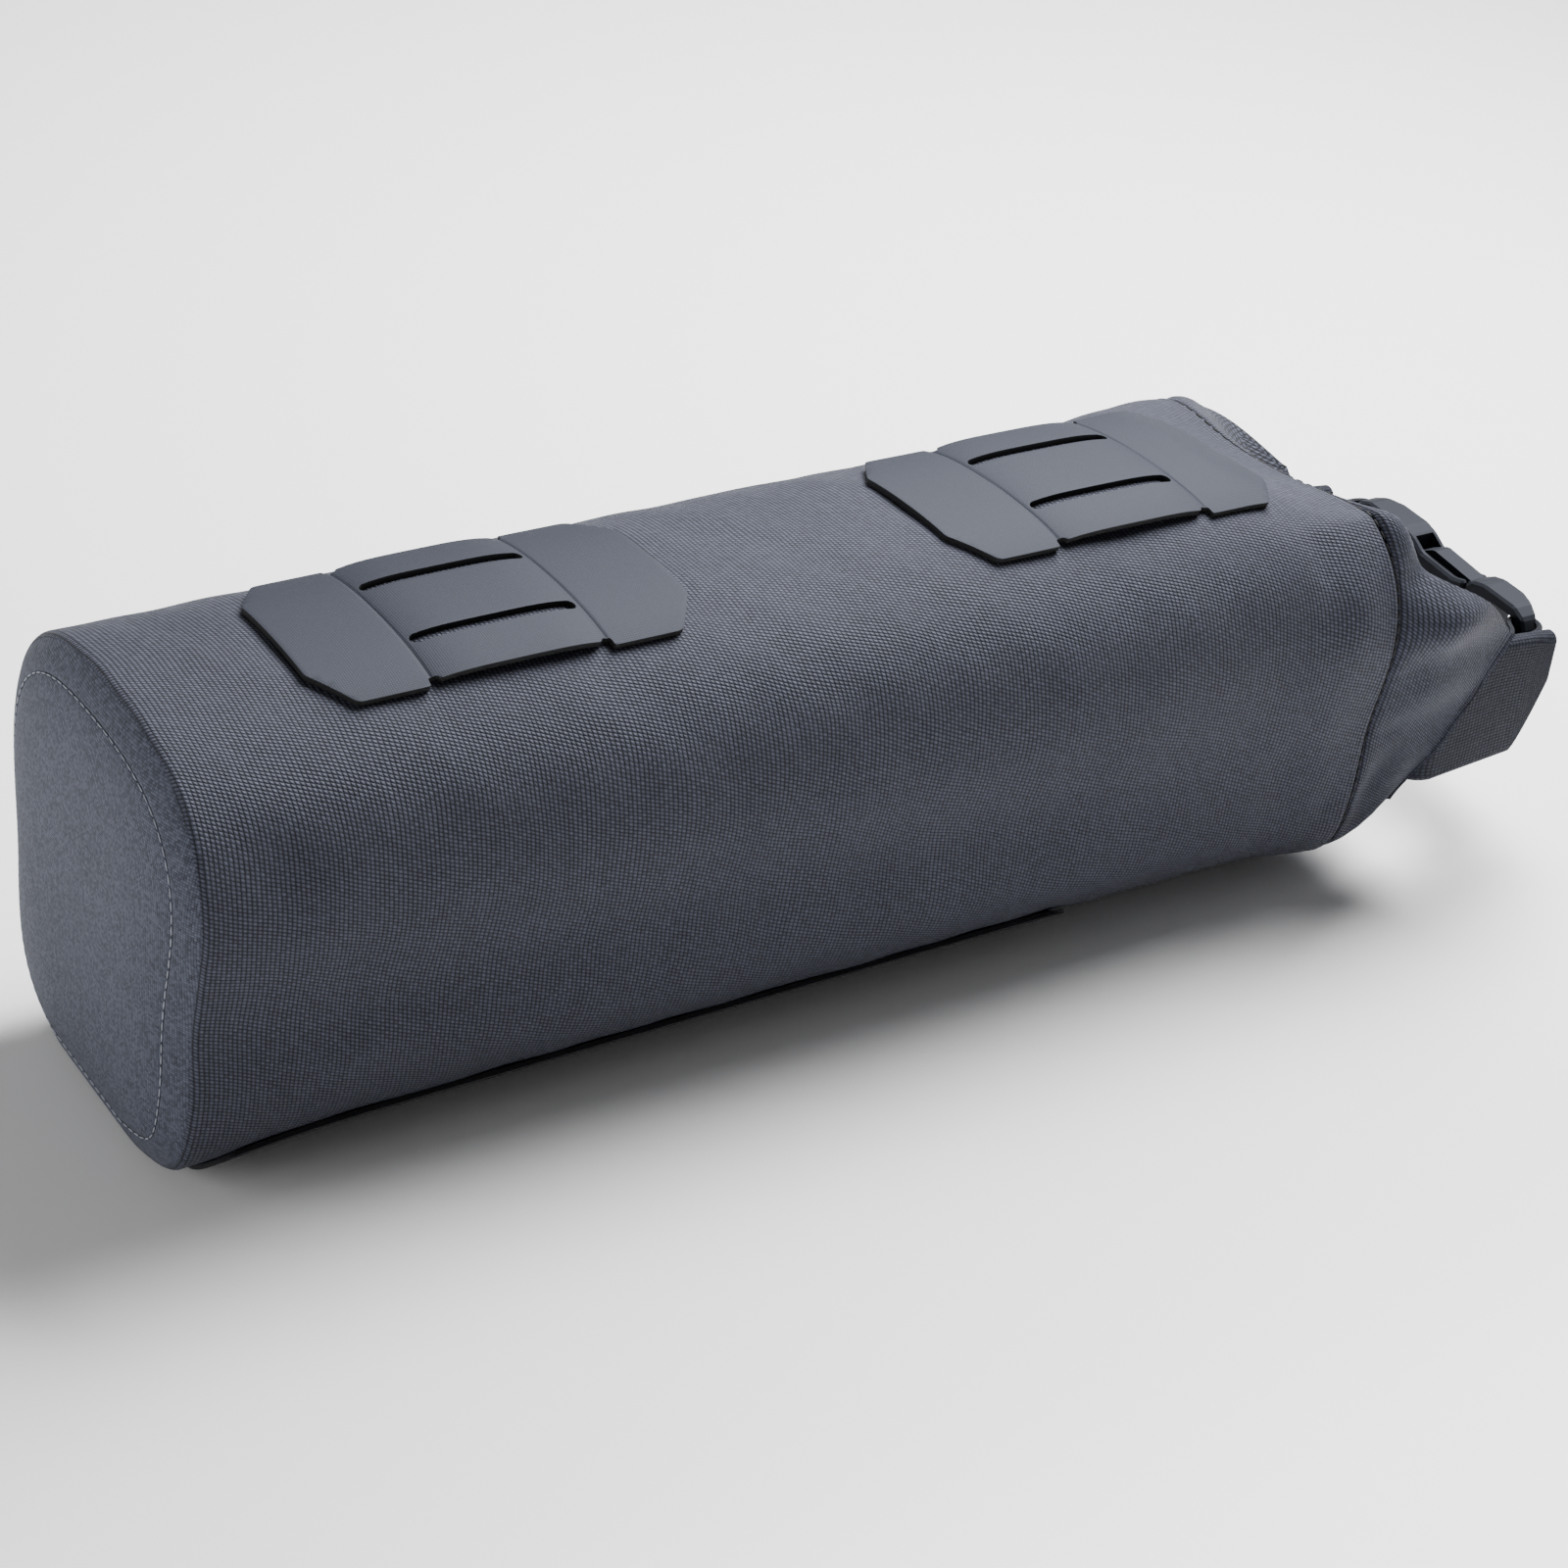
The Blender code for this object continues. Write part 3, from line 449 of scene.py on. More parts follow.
def add_piece(name, mesh, materials, smooth_angle=40.0):
    """Link a finished mesh as a piece that rides on the bag."""
    turned_outwards(mesh)
    mesh.shade_smooth()
    mesh.set_sharp_from_angle(angle=math.radians(smooth_angle))
    piece = bpy.data.objects.new(name, mesh)
    bpy.context.scene.collection.objects.link(piece)
    for material in materials:
        mesh.materials.append(material)
    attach(piece, "root")
    return piece


def closed_shell(name, outer, inner, widths):
    """Closed mesh of a shell from its outer and inner grids of points."""
    points = np.concatenate([outer, inner[::-1]])
    runs = run_lengths(np.concatenate([points, points[:1]]))
    return skin(name, points, cloth_map(runs, widths), ring=True)


def rounded_profile(thickness, low, high, lip, steps):
    """Rounded rectangle of a strip's section: offsets from its middle line and heights."""
    half = thickness / 2
    lip = min(lip, half * 0.98)
    corners = ((-1, low, 180), (1, low, 270), (1, high, 0), (-1, high, 90))
    profile = []
    for side, end, start in corners:
        centre_z = end + lip if end == low else end - lip
        for turn in np.radians(np.linspace(start, start + 90, steps)):
            offset = side * (half - lip) + lip * math.cos(turn)
            profile.append((offset, centre_z + lip * math.sin(turn)))
    return np.array(profile)


def strip(name, path, thickness, low, high, lip, steps):
    """Closed strip along a path seen from above, with its weave's UV map."""
    path = np.asarray(path, float)
    ahead = np.gradient(path, axis=0)
    ahead = ahead / np.linalg.norm(ahead, axis=1)[:, None]
    aside = np.stack([-ahead[:, 1], ahead[:, 0]], axis=1)
    loops = []
    for i, point in enumerate(path):
        profile = rounded_profile(thickness[i], low[i], high[i], lip, steps)
        xy = point + aside[i] * profile[:, :1]
        loops.append(np.concatenate([xy, profile[:, 1:]], axis=1))
    points = np.stack(loops)
    around = run_lengths(np.concatenate([points, points[:, :1]], axis=1).transpose(1, 0, 2))
    return skin(name, points, cloth_map(run_lengths(points), around))


def finer(path, step):
    """Points every step along a path, on straight runs between its own points."""
    path = np.asarray(path, float)
    steps = np.linalg.norm(np.diff(path, axis=0), axis=1)
    length = np.concatenate([[0.0], np.cumsum(steps)])
    places = np.linspace(0.0, length[-1], max(2, int(length[-1] / step)))
    return np.stack([np.interp(places, length, path[:, k]) for k in range(path.shape[1])], axis=1)


def eased(values, passes):
    """Rows smoothed a few times, with both ends kept."""
    values = np.array(values, float)
    for _ in range(passes):
        values[1:-1] = values[1:-1] / 2 + (values[:-2] + values[2:]) / 4
    return values


def filled_outline(outlines):
    """Flat faces between an outer outline and its holes, as bmesh."""
    curve = bpy.data.curves.new("outline", "CURVE")
    curve.dimensions = "2D"
    curve.fill_mode = "BOTH"
    for outline in outlines:
        spline = curve.splines.new("POLY")
        spline.points.add(len(outline) - 1)
        for point, (x, y) in zip(spline.points, outline):
            point.co = (x / MM, y / MM, 0.0, 1.0)
        spline.use_cyclic_u = True
    holder = bpy.data.objects.new("outline", curve)
    bpy.context.scene.collection.objects.link(holder)
    bpy.context.view_layer.update()
    shaped = holder.evaluated_get(bpy.context.evaluated_depsgraph_get())
    flat = bpy.data.meshes.new_from_object(shaped)
    data = bmesh.new()
    data.from_mesh(flat)
    bmesh.ops.remove_doubles(data, verts=data.verts, dist=0.001)
    bpy.data.objects.remove(holder)
    bpy.data.curves.remove(curve)
    bpy.data.meshes.remove(flat)
    return data


def mapped_sheet(name, outlines, cuts, middle_share, low, high, edge):
    """A sheet cut to flat outlines, laid round the tube and given its thickness.

    outlines are in metres along the tube and round it from middle_share; cuts are the lines along
    and round where the sheet bends; low and high give its two faces above the cloth.
    """
    data = filled_outline(outlines)
    for axis, places in enumerate(cuts):
        for place in places:
            point = [0.0, 0.0, 0.0]
            point[axis] = place / MM
            normal = [0.0, 0.0, 0.0]
            normal[axis] = 1.0
            geometry = list(data.verts) + list(data.edges) + list(data.faces)
            bmesh.ops.bisect_plane(
                data, geom=geometry, plane_co=point, plane_no=normal, dist=0.0005
            )
    uv = data.loops.layers.uv.new("cloth_mm")
    for face in data.faces:
        for loop in face.loops:
            loop[uv].uv = loop.vert.co.xy
    flat_faces = list(data.faces)
    lower = list(data.verts)
    raised = bmesh.ops.extrude_face_region(data, geom=flat_faces, use_keep_orig=True)
    upper = [item for item in raised["geom"] if isinstance(item, bmesh.types.BMVert)]
    for group, lift in ((lower, low), (upper, high)):
        x = np.array([vert.co.x * MM for vert in group])
        y = np.array([vert.co.y * MM for vert in group])
        points = tube_surface(x, middle_share + y / GIRTH, lift(x)) + SHIFT
        for vert, point in zip(group, points):
            vert.co = point
    bmesh.ops.recalc_face_normals(data, faces=data.faces)
    broad = set(flat_faces)
    broad |= {item for item in raised["geom"] if isinstance(item, bmesh.types.BMFace)}
    sides = [face for face in data.faces if face not in broad]
    for face in sides:
        face.material_index = 1
    rim_edges = {e for face in sides for e in face.edges if any(f in broad for f in e.link_faces)}
    bmesh.ops.bevel(
        data, geom=list(rim_edges), offset=edge, segments=2, affect="EDGES", profile=0.5,
        material=0, clamp_overlap=True,
    )
    mesh = bpy.data.meshes.new(name)
    data.to_mesh(mesh)
    data.free()
    return mesh


# Materials


def add_node(tree, kind, values=None, links=None, **settings):
    """Add a node with its settings, its sockets' values and its incoming links."""
    node = tree.nodes.new(kind)
    for key, value in settings.items():
        setattr(node, key, value)
    for key, value in (values or {}).items():
        node.inputs[key].default_value = value
    for key, source in (links or {}).items():
        tree.links.new(source, node.inputs[key])
    return node


def new_material(name):
    """An empty node material and its tree."""
    old = bpy.data.materials.get(name)
    if old:
        bpy.data.materials.remove(old)
    material = bpy.data.materials.new(name)
    material.use_nodes = True
    material.node_tree.nodes.clear()
    return material, material.node_tree


def finish_shader(tree, colour, tone, height, relief, shader_values):
    """Principled surface of a colour times a tone, with a bump of a real height in metres."""
    tinted = add_node(
        tree, "ShaderNodeVectorMath", {0: tuple(colour)}, {"Scale": tone.outputs[0]},
        operation="SCALE",
    )
    bump = add_node(
        tree, "ShaderNodeBump", {"Strength": 1.0, "Distance": relief}, {"Height": height}
    )
    shader = add_node(
        tree, "ShaderNodeBsdfPrincipled", shader_values,
        {"Base Color": tinted.outputs[0], "Normal": bump.outputs["Normal"]},
    )
    add_node(tree, "ShaderNodeOutputMaterial", links={"Surface": shader.outputs["BSDF"]})


# Tint of the gloss on slate-dyed yarn and laminate
COOL = (0.80, 0.83, 1.0, 1.0)

# Weave: how many crossings the threads drift by at most, the drift's scale per millimetre, how
# much crossings stand above and below their height by turns, the share of them that are closed,
# the least share of the colour that a gap keeps, and a crossing's mean height, 4 / pi squared.
# The gaps' darker colour is painted shade, and the crowns' lighter colour is painted highlight
THREAD_DRIFT = 3.0
DRIFT_SCALE = 0.03
OVER_UNDER = 0.1
CLOSED_SHARE = 0.93
DARKEST = 0.06
MEAN_CROWN = 0.405
# Broad patches in the colour of cloth and of moulded or cut surfaces, per metre
CLOTH_PATCHES = 30.0
MOULDED_PATCHES = 60.0
# The crossings of the coarse cloth lie 0.96 mm apart along the bag and 0.85 mm round it
ROUND_PITCH = 0.885


def woven_material(name, colour, pitch, relief, painted_weave_shade, speckle, shader_values, rows=0.1,
                   pores=0.0, broad=0.3, slant=0.0):
    """Woven cloth read from the cloth_mm map.

    pitch holds the spacing of the crossings along and round in millimetres, and slant how many
    crossings each column is set off from the one before. The fifth argument is how much darker the
    gaps between the crossings are and how much lighter their crowns: painted shade and painted
    highlight of the weave's relief. speckle is how much each crossing differs, rows how much each
    thread differs, broad how much wide patches differ and pores how much darker the few open
    crossings are.
    """
    material, tree = new_material(name)
    place = add_node(tree, "ShaderNodeUVMap", uv_map="cloth_mm").outputs["UV"]
    drift = add_node(
        tree, "ShaderNodeTexNoise", {"Scale": DRIFT_SCALE, "Detail": 1.0}, {"Vector": place},
        noise_dimensions="2D",
    )
    moved = add_node(
        tree, "ShaderNodeVectorMath",
        {1: (THREAD_DRIFT * pitch[0], THREAD_DRIFT * pitch[1], 0.0)},
        {0: drift.outputs["Color"], 2: place}, operation="MULTIPLY_ADD",
    )
    threads = add_node(
        tree, "ShaderNodeVectorMath", {1: (1.0 / pitch[0], 1.0 / pitch[1], 0.0)},
        {0: moved.outputs[0]}, operation="MULTIPLY",
    )
    column = add_node(tree, "ShaderNodeSeparateXYZ", links={0: threads.outputs[0]})
    row = add_node(
        tree, "ShaderNodeMath", {1: slant}, {0: column.outputs[0], 2: column.outputs[1]},
        operation="MULTIPLY_ADD",
    )
    threads = add_node(
        tree, "ShaderNodeCombineXYZ", links={0: column.outputs[0], 1: row.outputs[0]}
    )
    turned = add_node(
        tree, "ShaderNodeVectorMath", {1: (math.pi, math.pi, 0.0)},
        {0: threads.outputs[0]}, operation="MULTIPLY",
    )
    wave = add_node(tree, "ShaderNodeVectorMath", links={0: turned.outputs[0]}, operation="SINE")
    parts = add_node(tree, "ShaderNodeSeparateXYZ", links={0: wave.outputs[0]})
    over = add_node(
        tree, "ShaderNodeMath", links={0: parts.outputs[0], 1: parts.outputs[1]},
        operation="MULTIPLY",
    )
    crown = add_node(tree, "ShaderNodeMath", links={0: over.outputs[0]}, operation="ABSOLUTE")
    height = add_node(
        tree, "ShaderNodeMath", {1: OVER_UNDER}, {0: over.outputs[0], 2: crown.outputs[0]},
        operation="MULTIPLY_ADD",
    )
    cell = add_node(tree, "ShaderNodeVectorMath", links={0: threads.outputs[0]}, operation="FLOOR")
    crossing = add_node(
        tree, "ShaderNodeTexWhiteNoise", links={"Vector": cell.outputs[0]}, noise_dimensions="2D"
    )
    cell_parts = add_node(tree, "ShaderNodeSeparateXYZ", links={0: cell.outputs[0]})
    thread = add_node(
        tree, "ShaderNodeTexWhiteNoise", links={"W": cell_parts.outputs[0]}, noise_dimensions="1D"
    )
    open_crossing = add_node(
        tree, "ShaderNodeMath", {1: CLOSED_SHARE}, {0: crossing.outputs["Value"]},
        operation="GREATER_THAN",
    )
    coordinates = add_node(tree, "ShaderNodeTexCoord")
    shade = add_node(
        tree, "ShaderNodeTexNoise", {"Scale": CLOTH_PATCHES, "Detail": 3.0},
        {"Vector": coordinates.outputs["Object"]},
    )
    level = 1.0 - MEAN_CROWN * painted_weave_shade - (speckle + rows + broad) / 2
    tone = None
    # The first amount darkens the gaps and lightens the crowns as painted shade and painted
    # highlight; the others are the yarn's own tone
    amounts = (
        (painted_weave_shade, height.outputs[0]),
        (speckle, crossing.outputs["Value"]),
        (rows, thread.outputs["Value"]),
        (broad, shade.outputs["Fac"]),
        (-pores, open_crossing.outputs[0]),
    )
    for share, source in amounts:
        links = {0: source} if tone is None else {0: source, 2: tone.outputs[0]}
        values = {1: share, 2: level} if tone is None else {1: share}
        tone = add_node(tree, "ShaderNodeMath", values, links, operation="MULTIPLY_ADD")
    tone = add_node(
        tree, "ShaderNodeMath", {1: DARKEST}, {0: tone.outputs[0]}, operation="MAXIMUM"
    )
    finish_shader(tree, colour, tone, height.outputs[0], relief, shader_values)
    return material


def grained_material(name, colour, grain, relief, shader_values, mottle=0.25):
    """Moulded or cut surface with a fine grain in millimetres, read from Object coordinates."""
    material, tree = new_material(name)
    coordinates = add_node(tree, "ShaderNodeTexCoord").outputs["Object"]
    fine = add_node(
        tree, "ShaderNodeTexNoise", {"Scale": 1.0 / (grain * MM), "Detail": 2.0},
        {"Vector": coordinates},
    )
    broad = add_node(
        tree, "ShaderNodeTexNoise", {"Scale": MOULDED_PATCHES, "Detail": 3.0},
        {"Vector": coordinates},
    )
    tone = add_node(
        tree, "ShaderNodeMath", {1: mottle, 2: 1.0 - mottle}, {0: fine.outputs["Fac"]},
        operation="MULTIPLY_ADD",
    )
    tone = add_node(
        tree, "ShaderNodeMath", {1: mottle}, {0: broad.outputs["Fac"], 2: tone.outputs[0]},
        operation="MULTIPLY_ADD",
    )
    finish_shader(tree, colour, tone, fine.outputs["Fac"], relief, shader_values)
    return material


def bag_materials(context):
    """All finishes of the bag, by short names."""
    cloth = context.scene.bag_cloth
    fittings = context.scene.bag_fittings
    seams = context.scene.bag_seams
    finishes = {}
    # Nylon woven from coarse slate yarn and coated on its back: dotted, slanting rows of matte
    # threads, each crossing a little lighter or darker than the next; the dots' dark gaps and light
    # crowns are painted shade and painted highlight
    pitch = cloth.thread_pitch / MM
    coarse = (pitch, pitch * ROUND_PITCH)
    finishes["cloth"] = woven_material(
        "Coated nylon, coarse woven", cloth.cloth_colour, coarse, 0.21 * MM, 2.6, 0.6,
        {"Roughness": 0.7, "Specular IOR Level": 0.4, "Sheen Weight": 0.05, "Specular Tint": COOL},
        rows=0.06, slant=0.5,
    )
    # The same cloth on the roll, with flatter crossings and a darker colour: the darkness is
    # painted shade where the roll faces away from the light
    finishes["rolled"] = woven_material(
        "Coated nylon, rolled", cloth.rolled_shaded_colour, coarse, 0.14 * MM, 1.9, 0.6,
        {"Roughness": 0.75, "Specular IOR Level": 0.3, "Specular Tint": COOL}, rows=0.2,
    )
    # Polyester woven from fine yarn over a stiff foam board: close, even and lighter, with a few
    # open crossings that read as dark specks; its gaps are darkened and its crowns lightened as
    # painted shade and painted highlight
    pitch = cloth.end_pitch / MM
    finishes["end"] = woven_material(
        "Polyester over foam board, fine woven", cloth.end_colour, (pitch, pitch), 0.06 * MM,
        0.8, 0.9, {"Roughness": 0.85, "Sheen Weight": 0.06, "Specular Tint": COOL},
        rows=0.05, pores=0.9,
    )
    # Laminate pressed against a ribbed sheet: a very fine even grid, matte; its grooves darkened
    # and ribs lightened as painted shade and painted highlight
    pitch = fittings.rib_pitch / MM
    finishes["plate"] = woven_material(
        "Ribbed laminate, pressed", fittings.plate_colour, (pitch, pitch), 0.03 * MM, 0.8, 0.15,
        {"Roughness": 0.7, "Specular IOR Level": 0.35, "Specular Tint": COOL},
        rows=0.04, broad=0.12,
    )
    # Synthetic rubber core, die cut: a dull black edge
    finishes["edge"] = grained_material(
        "Synthetic rubber, die cut", fittings.edge_colour, 0.3, 0.02 * MM, {"Roughness": 0.8},
    )
    # Thermoplastic rubber film, calendered: smooth and near black with a faint grain
    finishes["panel"] = grained_material(
        "Thermoplastic rubber film, calendered", fittings.panel_colour, 0.4, 0.015 * MM,
        {"Roughness": 0.6, "Specular IOR Level": 0.35},
    )
    # Polypropylene tape, woven tight from heavy yarn: small ribs across, a slight sheen; the ribs'
    # gaps darkened and tops lightened as painted shade and painted highlight
    finishes["webbing"] = woven_material(
        "Polypropylene webbing, woven", fittings.webbing_colour, (0.9, 0.7), 0.15 * MM,
        1.2, 0.3, {"Roughness": 0.7, "Specular IOR Level": 0.25, "Specular Tint": COOL},
    )
    # Acetal, injection moulded in a fine-sparked tool: satin with a soft highlight
    finishes["buckle"] = grained_material(
        "Acetal, injection moulded", fittings.buckle_colour, 0.25, 0.012 * MM,
        {"Roughness": 0.62, "Specular IOR Level": 0.2, "Specular Tint": COOL}, mottle=0.12,
    )
    # Polyester thread, twisted and bonded: a dull black line in the seam's gap, partly painted
    # shade that stands for the gap's shadow
    finishes["thread"] = grained_material(
        "Polyester thread, twisted", seams.seam_thread_and_shade_colour, 0.2, 0.02 * MM, {"Roughness": 0.75},
    )
    # The same thread in a pale colour on the end face: a fine pale line, a painted highlight along
    # the ring's inner edge
    finishes["pale_thread"] = grained_material(
        "Polyester thread, undyed", seams.end_highlight_thread_colour, 0.2, 0.02 * MM, {"Roughness": 0.7},
    )
    return finishes


# The finishes by short names, filled in by main
FINISHES = {}


# Settings


def colour_setting(name, description, hex_colour):
    """A colour setting with an sRGB hex default."""
    return bpy.props.FloatVectorProperty(
        name=name, description=description, default=linear(hex_colour), subtype="COLOR",
        size=3, min=0.0, max=1.0,
    )


def length_setting(name, description, default):
    """A length setting in metres."""
    return bpy.props.FloatProperty(
        name=name, description=description, default=default, min=0.0, subtype="DISTANCE",
        unit="LENGTH", precision=5,
    )


class BagClothSettings(bpy.types.PropertyGroup):
    """Cloth of the tube, the end face, the collar and the roll."""

    cloth_colour: colour_setting("Cloth", "Colour of the coarse cloth", "#2A2C36")
    # The rolled cloth's darker colour is painted shade
    rolled_shaded_colour: colour_setting("Rolled cloth, painted shade", "Colour of the rolled mouth, darkened as painted shade", "#191B22")
    end_colour: colour_setting("End cloth", "Colour of the fine cloth of the end face", "#3A3D48")
    thread_pitch: length_setting("Crossing pitch", "Distance between coarse crossings", 0.96 * MM)
    end_pitch: length_setting("Fine pitch", "Distance between fine crossings", 0.55 * MM)
    ripple: length_setting("Ripple", "Height of the cloth's slow unevenness", 0.22 * MM)


class BagFittingSettings(bpy.types.PropertyGroup):
    """Plates, underside panel, webbing and buckle."""

    plate_colour: colour_setting("Plates", "Colour of the plates' top", "#20232B")
    edge_colour: colour_setting("Plate edges", "Colour of the plates' cut edges", "#0C0D0F")
    panel_colour: colour_setting("Underside", "Colour of the underside panel", "#212226")
    webbing_colour: colour_setting("Webbing", "Colour of the tape", "#131417")
    buckle_colour: colour_setting("Buckle", "Colour of the buckle", "#1C1E23")
    rib_pitch: length_setting("Rib pitch", "Distance between the plates' fine ribs", 0.5 * MM)
    crease: length_setting("Crease depth", "Depth of the crease at each bridge end", 0.2 * MM)


class BagSeamSettings(bpy.types.PropertyGroup):
    """Stitches of the seam between the tube and the collar, and round the end panel."""

    # The seam thread's black colour is partly painted shade of the seam's gap
    seam_thread_and_shade_colour: colour_setting("Thread", "Colour of the thread", "#08090B")
    # The end thread's pale colour is a painted highlight along the ring's inner edge
    end_highlight_thread_colour: colour_setting("End thread", "Colour of the thread round the end, pale as painted highlight", "#8F929C")
    end_thread: length_setting("End thread thickness", "Thickness of the pale thread", 0.3 * MM)
    stitch_length: length_setting("Stitch length", "Length of one stitch", 2.2 * MM)
    stitch_pitch: length_setting("Stitch pitch", "Distance from stitch to stitch", 3.0 * MM)
    thread_thickness: length_setting("Thread thickness", "Thickness of the thread", 0.55 * MM)


class BagStageSettings(bpy.types.PropertyGroup):
    """Floor and lights."""

    floor_colour: colour_setting("Floor", "Colour of the floor", "#FCFCFC")
    floor_size: length_setting("Floor size", "Length of the floor's side", 8.0)
    key_power: bpy.props.FloatProperty(
        name="Key light", description="Power of the light above and behind", default=21.0,
        min=0.0, subtype="POWER", unit="POWER",
    )
    end_power: bpy.props.FloatProperty(
        name="End light", description="Power of the light on the end face", default=5.5,
        min=0.0, subtype="POWER", unit="POWER",
    )
    floor_power: bpy.props.FloatProperty(
        name="Floor light", description="Power of the light on the floor before the bag",
        default=1.3, min=0.0, subtype="POWER", unit="POWER",
    )
    sky: bpy.props.FloatProperty(
        name="Surround", description="Strength of the white surround", default=0.16, min=0.0,
        subtype="FACTOR",
    )


# Pieces


def ripple_height(x, around, height):
    """Slow unevenness of the laid cloth, from a few waves that cross each other."""
    u = x / MM
    v = around * GIRTH / MM
    total = 0.0
    for along, across, start in RIPPLES:
        total = total + np.sin(along * u + across * v + start)
    return height * total / len(RIPPLES) * 2.0


def bridge_rise(share):
    """Height of a bridge at a share of the way from its middle to its end."""
    return BRIDGE_LIFT * np.maximum(0.0, 1.0 - share ** BRIDGE_POWER)


def under_bridges(lift, x, around):
    """Lift of the cloth, raised under the plates' bridges to just below them."""
    for centre in PLATE_CENTRES.values():
        along = np.minimum(1.0, np.abs(x - centre) / (BRIDGE_LENGTH / 2))
        aside = np.abs(around - 0.5) * GIRTH / (BRIDGE_GIRTH / 2)
        near = smooth_step(1.0 - aside, 0.03, 0.25) * smooth_step(1.0 - along, 0.0, 0.04)
        lift = lift + (bridge_rise(along) + GAP - CLOTH_BELOW_BRIDGE - lift) * near
    return lift


class BAG_OT_make_tube(bpy.types.Operator):
    """Make the coarse cloth tube with its rolled-in edges"""

    bl_idname = "bag.make_tube"
    bl_label = "Make tube"

    def execute(self, context):
        around = np.arange(AROUND_STEPS)[None, :] / AROUND_STEPS
        # Rows of the outer face: distance from the end and lift above the tube's surface, over
        # the rounded edge at the end, along the tube, and down into the seam
        rows = []
        for turn in [math.radians(degrees) for degrees in (90, 65, 40, 20, 0)]:
            inset = EDGE_RADIUS * (1 - math.cos(turn))
            rows.append((EDGE_RADIUS * (1 - math.sin(turn)) - bulge(inset), -inset))
        seam = TUBE_LENGTH
        straight = np.linspace(1.6 * MM, seam - SAG_LENGTH, 120)
        closing = np.linspace(seam - SAG_LENGTH, seam - 2.4 * MM, 22)[1:]
        rows += [(x, 0.0) for x in np.concatenate([straight, closing])]
        turned_in = ((1.9, 0.05), (1.3, 0.05), (0.8, -0.15), (0.4, -0.5), (0.1, -1.0), (0.0, -1.5))
        rows += [(seam - back * MM, lift * MM) for back, lift in turned_in]
        x = np.array([row[0] for row in rows])[:, None]
        lift = np.array([row[1] for row in rows])[:, None]
        # The cloth's unevenness fades out at the end and at the seam
        fade = smooth_step(x, 0.0, 12 * MM) * smooth_step(seam - x, 0.0, 4 * MM)
        lift = lift + ripple_height(x, around, context.scene.bag_cloth.ripple) * fade
        lift = lift - dent_depth(x, around, TUBE_CREASES) * fade
        lift = under_bridges(lift, x, around)
        outer = tube_surface(x, around, lift)
        # The inner face: two rows behind the rounded edge, then even ones to the seam
        even = np.linspace(8 * MM, seam, 50)
        inner_x = np.concatenate([[-bulge(EDGE_RADIUS) + 0.5 * MM, CLOTH], even])
        inner_lift = np.concatenate([[-1.4 * MM], np.full(len(even) + 1, -CLOTH)])
        inner = tube_surface(inner_x[:, None], around, inner_lift[:, None])
        widths = np.append(around, 1.0) * GIRTH
        mesh = closed_shell("bag_tube", outer, inner, widths)
        piece = add_piece("bag_tube", mesh, [FINISHES["cloth"]])
        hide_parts("body_tube")
        return {"FINISHED"}


def face_loop(inset, depth, around):
    """A loop on the end face at an inset from the outline and a depth below the face."""
    return tube_surface(depth - bulge(inset), around, -inset)


def flat_cloth(points):
    """UV values in millimetres across the end face."""
    cloth = np.stack([points[..., 1], points[..., 2]], axis=-1) / MM
    return np.concatenate([cloth, cloth[:, :1]], axis=1)


class BAG_OT_make_end(bpy.types.Operator):
    """Make the end face: the hem's ring and the stiff panel inside it"""

    bl_idname = "bag.make_end"
    bl_label = "Make end face"

    def execute(self, context):
        around = np.arange(AROUND_STEPS) / AROUND_STEPS
        # The ring's section in millimetres, inset from the outline and depth below the face: its
        # front from the tube's edge inwards, the fold round its inner edge, and its back
        ring = (
            (0.75, 0.25), (1.0, 0.08), (1.5, 0.0), (2.6, -0.04), (4.0, -0.05), (5.4, -0.02),
            (6.4, -0.02), (6.9, 0.03), (7.1, 0.15), (7.2, 0.4), (7.2, 1.1),
            (5.0, 1.1), (3.0, 1.1), (1.2, 1.1),
        )
        points = np.stack([face_loop(inset * MM, depth * MM, around) for inset, depth in ring])
        cloth = flat_cloth(points)
        mesh = skin("end_ring", points, np.concatenate([cloth, cloth[:1]]), ring=True)
        add_piece("end_ring", mesh, [FINISHES["end"]])

        # The panel's loops, from its rim behind the ring to its middle, as shares of the rim; the
        # first ones lie below the face by these millimetres
        rim_inset = HEM_DEPTH - PANEL_TUCK
        flat = face_loop(rim_inset, 0.0, around) * (0.0, 1.0, 1.0)
        middle = np.array([0.0, flat[:, 1].mean(), flat[:, 2].mean()])
        shares = (1.0, 0.992, 0.984, 0.972, 0.955, 0.93, 0.89, 0.84, 0.77, 0.68, 0.58, 0.47, 0.35,
                  0.22, 0.10, 0.01)
        sunk = (1.0, 0.55, 0.18, 0.04)
        half = TUBE_WIDTH / 2
        rows = []
        for i, share in enumerate(shares):
            loop = middle + (flat - middle) * share
            depth = sunk[i] * MM if i < len(sunk) else 0.0
            loop[:, 0] = depth - bulge(half - (half - rim_inset) * share)
            rows.append(loop)
        front = np.stack(rows)
        rear = front[::-1].copy()
        rear[..., 0] += END_BOARD
        points = np.concatenate([rear, front])
        mesh = skin("end_panel", points, flat_cloth(points))
        piece = add_piece("end_panel", mesh, [FINISHES["end"]])
        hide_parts("end_disc")
        return {"FINISHED"}


def arc_points(centre, radii, start, end, steps):
    """Points on an ellipse's arc, angles in degrees."""
    turns = np.radians(np.linspace(start, end, steps))
    return [(centre[0] + radii[0] * math.cos(t), centre[1] + radii[1] * math.sin(t)) for t in turns]


